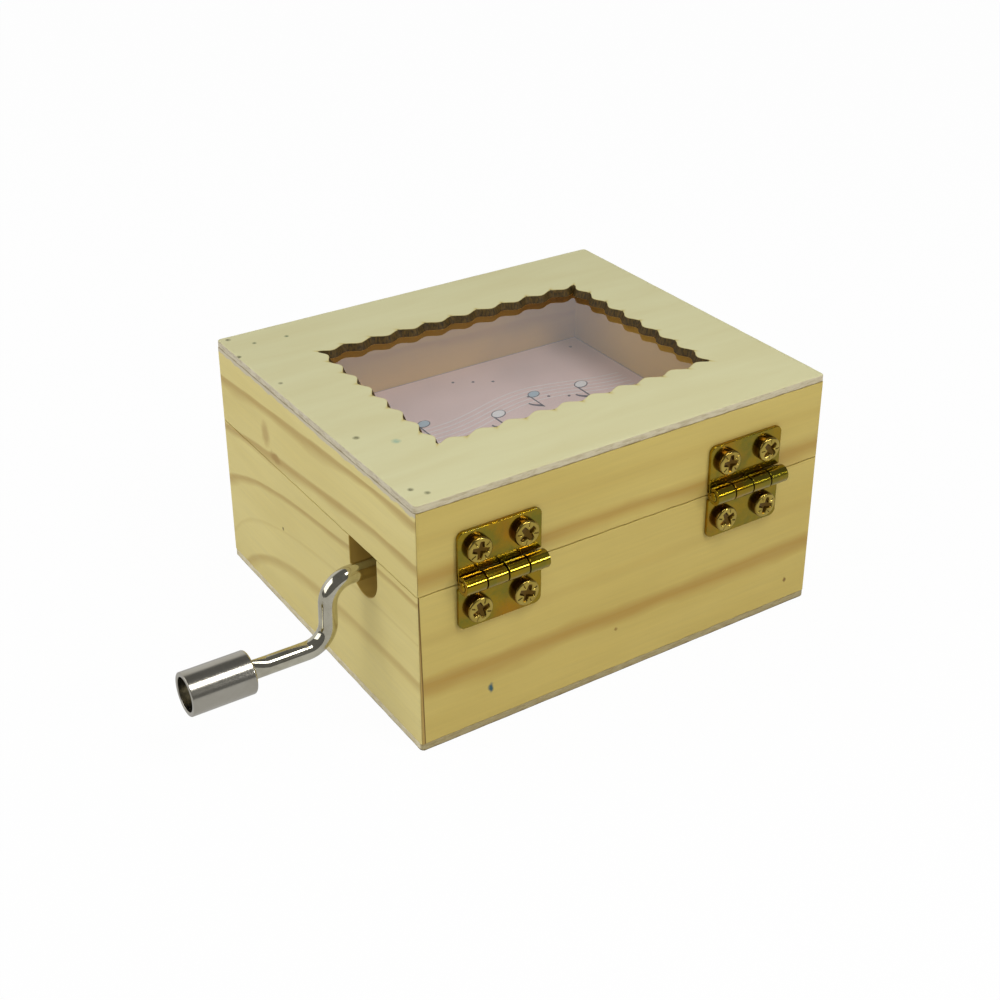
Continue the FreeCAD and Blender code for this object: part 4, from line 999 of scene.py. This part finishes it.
def crankKnob():
    # a turned sleeve with a cup in its outer end
    low, high = nodeBox("crank_knob")
    radius = (high - low)[2] / 2
    web = high[0] - knob["cupDepth"]
    corners = [(low[0], knob["bore"]), (low[0], radius), (high[0], radius), (high[0], knob["cup"]),
               (web, knob["cup"]), (web, knob["bore"])]
    profile = eased(corners, knob["edges"], 6)
    origin = (low + high) / 2 * (0, 1, 1)
    return surface(revolved(profile, origin, (1, 0, 0), knob["steps"]), closedRows=True)


newPiece("crankRod", [crankRod()], "crank", [brightNickel], ["crank_rod"])
newPiece("crankKnob", [crankKnob()], "knob", [satinNickel], ["crank_knob"])
print("crank made")


# Movement

wormShape = {"root": 1.9, "tip": 2.95, "hub": 2.3, "hubStep": 0.05, "bore": 1.5, "lead": np.pi * 0.5,
             "turns": 4, "rootHalf": 0.425, "tipHalf": 0.2, "rows": 180, "columns": 48}


def toothHeight(shape, away):
    # one on the tip, nothing at the root, straight flanks between
    return np.clip((shape["rootHalf"] - away) / (shape["rootHalf"] - shape["tipHalf"]), 0, 1)


def wormSurface():
    # radius over length and turn: the thread stands where the length, in leads, agrees with the turn
    low, high = nodeBox("worm")
    middle = (low + high) / 2
    reach = wormShape["lead"] * wormShape["turns"] / 2
    hubEnd = reach + 2 * wormShape["rootHalf"]
    threadEnd = hubEnd - wormShape["hubStep"]
    threadRows = np.linspace(-threadEnd, threadEnd, wormShape["rows"])
    start, end = low[0] - middle[0], high[0] - middle[0]
    along = np.concatenate([[start, -hubEnd], threadRows, [hubEnd, end]])[:, None]
    turn = np.linspace(0, 2 * np.pi, wormShape["columns"], endpoint=False)[None]
    lag = along / wormShape["lead"] - turn / (2 * np.pi)
    away = np.abs(lag - np.round(lag)) * wormShape["lead"]
    fade = np.clip((reach - np.abs(along)) / wormShape["rootHalf"], 0, 1)
    thread = toothHeight(wormShape, away) * fade
    radius = wormShape["root"] + (wormShape["tip"] - wormShape["root"]) * thread
    radius = np.where(np.abs(along) >= hubEnd, wormShape["hub"], radius)
    bore = np.full((1, wormShape["columns"]), wormShape["bore"])
    radius = np.concatenate([bore, radius, bore])
    along = np.concatenate([along[:1], along, along[-1:]])
    x = np.broadcast_to(middle[0] + along, radius.shape)
    grid = np.stack([x, middle[1] - radius * np.sin(turn), middle[2] + radius * np.cos(turn)], 2)
    return surface(grid, closedRows=True)


wheelShape = {"teeth": 26, "root": 5.9, "tip": 6.95, "rootHalf": 0.4, "tipHalf": 0.2, "rim": 5.3, "bore": 1.0,
              "plug": 5.1, "thick": 2.4, "lean": 0.0154, "pointsEach": 14, "rows": 7}


def wheelSurface():
    # radius over turn and width: trapezoid teeth that lean along the width to follow the worm
    low, high = nodeBox("cylinder_wheel")
    middle = (low + high) / 2
    root, tip, rim, bore, plug = (wheelShape[key] for key in ("root", "tip", "rim", "bore", "plug"))
    faceY = high[1] - wheelShape["thick"]
    count = wheelShape["teeth"] * wheelShape["pointsEach"]
    pitch = 2 * np.pi / wheelShape["teeth"]
    turn = np.linspace(0, 2 * np.pi, count, endpoint=False)[None]
    width = np.linspace(high[1], faceY, wheelShape["rows"])[:, None]
    lag = (turn - wheelShape["lean"] * (width - (high[1] + faceY) / 2)) / pitch
    away = np.abs(lag - np.round(lag)) * pitch * (root + tip) / 2
    teeth = root + (tip - root) * toothHeight(wheelShape, away)
    before = [(high[1], bore), (high[1], rim)]
    after = [(faceY, rim), (faceY, plug), (low[1], plug), (low[1], bore)]
    flat = [np.repeat([[r] for y, r in rows], count, axis=1) for rows in (before, after)]
    radius = np.concatenate([flat[0], teeth, flat[1]])
    y = np.concatenate([[y for y, r in before], width[:, 0], [y for y, r in after]])
    grid = np.stack([middle[0] + radius * np.sin(turn), np.broadcast_to(y[:, None], radius.shape),
                     middle[2] + radius * np.cos(turn)], 2)
    return surface(grid, closedRows=True)


drum = {"bore": 5.1, "edge": 0.12, "tracks": 18, "trackStart": -1.2, "trackStep": 1.0}
endCap = {"bore": 1.0, "edge": 0.15}
arbor = {"edge": 0.2, "steps": 32}
pins = {"perTrack": 3, "half": 0.2, "sunk": 0.3, "shoulder": 0.12, "crown": 0.03, "crownShare": 0.7,
        "sides": 8, "trackTurn": 83, "pinTurn": 127, "oddTurn": 19, "oddCycle": 7}


def sleeveSurface(name, shape, axis=(0, 1, 0), steps=72):
    # a tube with eased rims along the axis
    low, high = nodeBox(name)
    axis = np.array(axis, float)
    start, end = axis @ low, axis @ high
    radius, bore = (high - low)[0] / 2, shape["bore"]
    profile = eased([(start, bore), (start, radius), (end, radius), (end, bore)], shape["edge"], 4)
    return surface(revolved(profile, (low + high) / 2 * (1 - axis), axis, steps), closedRows=True)


def arborSurface():
    # a round bar with eased ends
    low, high = nodeBox("cylinder_arbor")
    radius, edge = (high - low)[0] / 2, arbor["edge"]
    corners = [(low[1], 0), (low[1], radius), (high[1], radius), (high[1], 0)]
    profile = eased(corners, [0, edge, edge, 0], 4)
    return surface(revolved(profile, (low + high) / 2 * (1, 0, 1), (0, 1, 0), arbor["steps"]))


def drumPins():
    # short round pins with domed ends, at turns that step on from pin to pin and track to track
    drumLow, drumHigh = nodeBox("cylinder_drum")
    pinsLow, pinsHigh = nodeBox("cylinder_pins")
    middle = (drumLow + drumHigh) / 2
    radius, tip = (drumHigh - drumLow)[0] / 2, (pinsHigh - pinsLow)[2] / 2
    half = pins["half"]
    profile = [(radius - pins["sunk"], half), (tip - pins["shoulder"], half),
               (tip - pins["crown"], half * pins["crownShare"]), (tip, 0)]
    upright = revolved(profile, (0, 0, 0), (0, 0, 1), pins["sides"])
    parts = []
    for track in range(drum["tracks"]):
        origin = (middle[0], drum["trackStart"] + (track + 0.5) * drum["trackStep"], middle[2])
        for number in range(pins["perTrack"]):
            odd = (track * number) % pins["oddCycle"] * pins["oddTurn"]
            turn = np.radians((track * pins["trackTurn"] + number * pins["pinTurn"] + odd) % 360)
            sideways, outward = (np.cos(turn), 0, -np.sin(turn)), (np.sin(turn), 0, np.cos(turn))
            parts.append(surface(placed(upright, origin, sideways, (0, 1, 0), outward), caps="first"))
    return parts


newPiece("worm", [wormSurface()], "crank", [whiteNylon], ["worm"])
newPiece("cylinderWheel", [wheelSurface()], "cylinder", [whiteNylon], ["cylinder_wheel"])
newPiece("cylinderDrum", [sleeveSurface("cylinder_drum", drum)], "cylinder", [drumBrass],
         ["cylinder_drum"])
newPiece("cylinderPins", drumPins(), "cylinder", [springSteel], ["cylinder_pins"])
newPiece("cylinderEndCap", [sleeveSurface("cylinder_end_cap", endCap)], "cylinder",
         [whiteNylon], ["cylinder_end_cap"])
newPiece("cylinderArbor", [arborSurface()], "cylinder", [springSteel], ["cylinder_arbor"])

combShape = {"longRoot": -6.0, "shortRoot": -1.0, "corner": 0.3, "plateEdge": 0.12, "overlap": 1.0,
             "toothThick": 0.9, "toothWidth": 0.78, "toothEdge": 0.06, "tipLength": 1.2, "tipShare": 0.7}


def combSurfaces():
    # a clamped plate with a slanted front, and teeth that get shorter towards the back of the box
    low, high = nodeBox("comb")
    longRoot, shortRoot = combShape["longRoot"], combShape["shortRoot"]
    corners = [(low[0], low[1]), (longRoot, low[1]), (shortRoot, high[1]), (low[0], high[1])]
    plate = roundedSlab(eased(corners, combShape["corner"], 4), low[2], high[2], combShape["plateEdge"])
    parts = [solid(plate)]
    half = combShape["toothWidth"] / 2
    tipHalf, shoulder = half * combShape["tipShare"], high[0] - combShape["tipLength"]
    under = high[2] - combShape["toothThick"]
    for number in range(drum["tracks"]):
        middle = drum["trackStart"] + (number + 0.5) * drum["trackStep"]
        share = (number + 0.5) / drum["tracks"]
        root = longRoot + share * (shortRoot - longRoot) - combShape["overlap"]
        tooth = np.array([(root, -half), (shoulder, -half), (high[0], -tipHalf), (high[0], tipHalf),
                          (shoulder, half), (root, half)]) + (0, middle)
        parts.append(solid(roundedSlab(tooth, under, high[2], combShape["toothEdge"], 3)))
    return parts


bedplate = {"thick": 1.6, "corner": 3.0, "edge": 0.25, "sunk": 0.3, "postThick": 3.0,
            "shaftPosts": (3.0, 22.0), "shaftArch": 2.6, "arborPosts": (-6.0, 23.4), "arborArch": 2.8,
            "pedestalFront": -8.2, "pedestalCorner": 0.6, "pedestalEdge": 0.15}


def archOutline(middle, foot, crown, radius):
    # a half circle on two straight legs
    turn = np.linspace(0, np.pi, 25)
    head = np.stack([middle + radius * np.cos(turn), crown + radius * np.sin(turn)], 1)
    return np.concatenate([head, [(middle - radius, foot), (middle + radius, foot)]])


def bearingPosts(outline, starts, across, along):
    # the same arch raised at each start
    posts = [roundedSlab(outline, start, start + bedplate["postThick"], bedplate["edge"]) for start in starts]
    return [solid(placed(post, (0, 0, 0), across, (0, 0, 1), along)) for post in posts]


def bedplateSurfaces():
    # one casting: plate, comb pedestal and four arched bearing posts
    low, high = nodeBox("movement_bedplate")
    combLow, combHigh = nodeBox("comb")
    drumMiddle = sum(nodeBox("cylinder_drum")) / 2
    top = low[2] + bedplate["thick"]
    foot = top - bedplate["sunk"]
    plate = boxSlab(low, (high[0], high[1], top), bedplate["corner"], bedplate["edge"], 8)
    pedestal = boxSlab((combLow[0], combLow[1], foot), (bedplate["pedestalFront"], combHigh[1], combLow[2]),
                       bedplate["pedestalCorner"], bedplate["pedestalEdge"])
    shaftOutline = archOutline(shaftY, foot, shaftZ, bedplate["shaftArch"])
    arborOutline = archOutline(drumMiddle[0], foot, drumMiddle[2], bedplate["arborArch"])
    shaftPosts = bearingPosts(shaftOutline, bedplate["shaftPosts"], (0, 1, 0), (1, 0, 0))
    arborPosts = bearingPosts(arborOutline, bedplate["arborPosts"], (1, 0, 0), (0, 1, 0))
    return [solid(plate), solid(pedestal)] + shaftPosts + arborPosts


movementScrews = {"combShares": (0.22, 0.78), "combX": -12.6, "head": 2.2, "height": 1.4, "inset": 3.27,
                  "turnStart": 0.5, "turnStep": 0.9}


def movementScrewRow(spots, seat):
    # upright screws, every cross at another turn
    parts = []
    for x, y in spots:
        turn = movementScrews["turnStart"] + movementScrews["turnStep"] * len(parts)
        parts.append(screwSurface((x, y, seat), movementScrews["head"], movementScrews["height"], turn,
                                  (1, 0, 0), (0, 1, 0), (0, 0, 1)))
    return parts


movementBlock = {"corner": 0.5, "edge": 0.3}
combLow, combHigh = nodeBox("comb")
combSpots = [(movementScrews["combX"], combLow[1] + share * (combHigh - combLow)[1])
             for share in movementScrews["combShares"]]
bedLow, bedHigh = nodeBox("movement_bedplate")
nearSpot, farSpot = bedLow + movementScrews["inset"], bedHigh - movementScrews["inset"]
bedSpots = [(nearSpot[0], nearSpot[1]), (nearSpot[0], farSpot[1]), (farSpot[0], nearSpot[1])]
newPiece("comb", combSurfaces(), "base", [springSteel], ["comb"])
newPiece("movementBedplate", bedplateSurfaces(), "base", [zincCasting], ["movement_bedplate"])
newPiece("combScrews", movementScrewRow(combSpots, combHigh[2]), "base", [screwSteel],
         ["comb_screws"])
newPiece("bedplateScrews", movementScrewRow(bedSpots, bedLow[2] + bedplate["thick"]), "base",
         [screwSteel], ["bedplate_screws"])
blockGrid = boxSlab(*nodeBox("movement_block"), movementBlock["corner"], movementBlock["edge"])
newPiece("movementBlock", [solid(blockGrid)], "base", [pineFinishes["front"]], ["movement_block"])
print("movement made")


# Floor, light and camera

studio = {"floor": 3.0, "floorShade": (0.85, 0.85, 0.85, 1), "floorGlow": 0.97, "floorGloss": 0.55,
          "world": 0.47, "room": 0.14, "front": 0.55, "frontReach": (-0.58, -0.76), "aim": (0, 0, 0.025)}
lamps = {
    "key": {"power": 1.68, "place": (0.58, -0.16, 0.37), "size": (0.6, 0.45)},
    "back": {"power": 0.36, "place": (-0.022, 0.183, 0.309), "size": (0.12, 0.12)},
    "side": {"power": 1.3, "place": (-0.44, 0.75, 0.38), "size": (0.2, 0.07)},
}
view = {"place": (0.15383, 0.23221, 0.18140), "right": (-0.83827, 0.54526, -0.00213),
        "up": (-0.24763, -0.37723, 0.8924), "back": (0.48578, 0.7486, 0.45125), "lens": 57.13, "sensor": 36.0,
        "shift": -0.1, "near": 0.01}


def makeFloor():
    # pale floor: its own shade keeps the shadow, and a glow that only the eye and mirrors see makes it white
    mesh = bpy.data.meshes.new("floor")
    half = studio["floor"]
    corners = [(-half, -half, 0), (half, -half, 0), (half, half, 0), (-half, half, 0)]
    mesh.from_pydata(corners, [], [(0, 1, 2, 3)])
    floor = bpy.data.objects.new("floor", mesh)
    bpy.context.scene.collection.objects.link(floor)
    paint = Finish(bpy.data.materials.new("floor_white"))
    path = paint.tree.nodes.new("ShaderNodeLightPath").outputs
    eye = paint.math("MAXIMUM", path["Is Camera Ray"], path["Is Transmission Ray"])
    seen = paint.math("MAXIMUM", eye, path["Is Glossy Ray"])
    matt = paint.node("BsdfDiffuse", {"Color": studio["floorShade"]})
    glow = paint.node("Emission", {"Strength": paint.span(eye, 0.0, 1.0, studio["floorGloss"], 1.0)})
    mixed = paint.node("MixShader", {0: paint.math("MULTIPLY", seen, studio["floorGlow"]), 1: matt, 2: glow})
    mesh.materials.append(paint.shown(mixed))


def makeWorld():
    # white to the eye; mirrors see a dim room that is brighter towards the front of the box
    sky = Finish(bpy.data.worlds.new("studio"))
    path = sky.tree.nodes.new("ShaderNodeLightPath").outputs
    way = sky.axes(sky.node("TexCoord", {}, "Generated"))
    front = sky.span(way["Y"], *studio["frontReach"], 0.0, studio["front"])
    levels = (studio["world"], sky.math("ADD", front, studio["room"]), 1.0)
    plain = {"Color": (1, 1, 1, 1)}
    soft, room, bright = (sky.node("Background", dict(plain, Strength=level)) for level in levels)
    lit = sky.node("MixShader", {0: path["Is Glossy Ray"], 1: soft, 2: room})
    eye = sky.math("MAXIMUM", path["Is Camera Ray"], path["Is Transmission Ray"])
    bpy.context.scene.world = sky.shown(sky.node("MixShader", {0: eye, 1: lit, 2: bright}), "World Output")


def standAt(name, data, place, right, up, back):
    # a lamp or a camera that stands at its place and looks away from back
    thing = bpy.data.objects.new(name, data)
    bpy.context.scene.collection.objects.link(thing)
    axes = np.stack([right, up, back], 1)
    thing.matrix_world = Matrix.Translation(place) @ Matrix(axes.tolist()).to_4x4()
    return thing


def makeLamp(name, power, place, size):
    # a rectangle of light that is aimed at the middle of the box
    light = bpy.data.lights.new(name, "AREA")
    light.energy = power
    light.shape = "RECTANGLE"
    light.size, light.size_y = size
    back = unit(np.array(place) - studio["aim"])
    right = unit(np.cross((0, 0, 1), back))
    standAt(name, light, place, right, np.cross(back, right), back)


def makeCamera():
    # the photograph's view: where the camera stands, and its right, up and back directions
    lens = bpy.data.cameras.new("camera")
    lens.lens, lens.sensor_width, lens.sensor_fit = view["lens"], view["sensor"], "HORIZONTAL"
    lens.shift_y = view["shift"]
    lens.clip_start = view["near"]
    bpy.context.scene.camera = standAt("camera", lens, view["place"], view["right"], view["up"], view["back"])


makeFloor()
makeWorld()
for name, lamp in lamps.items():
    makeLamp(name, **lamp)
makeCamera()
bpy.context.scene.view_settings.view_transform = "Standard"
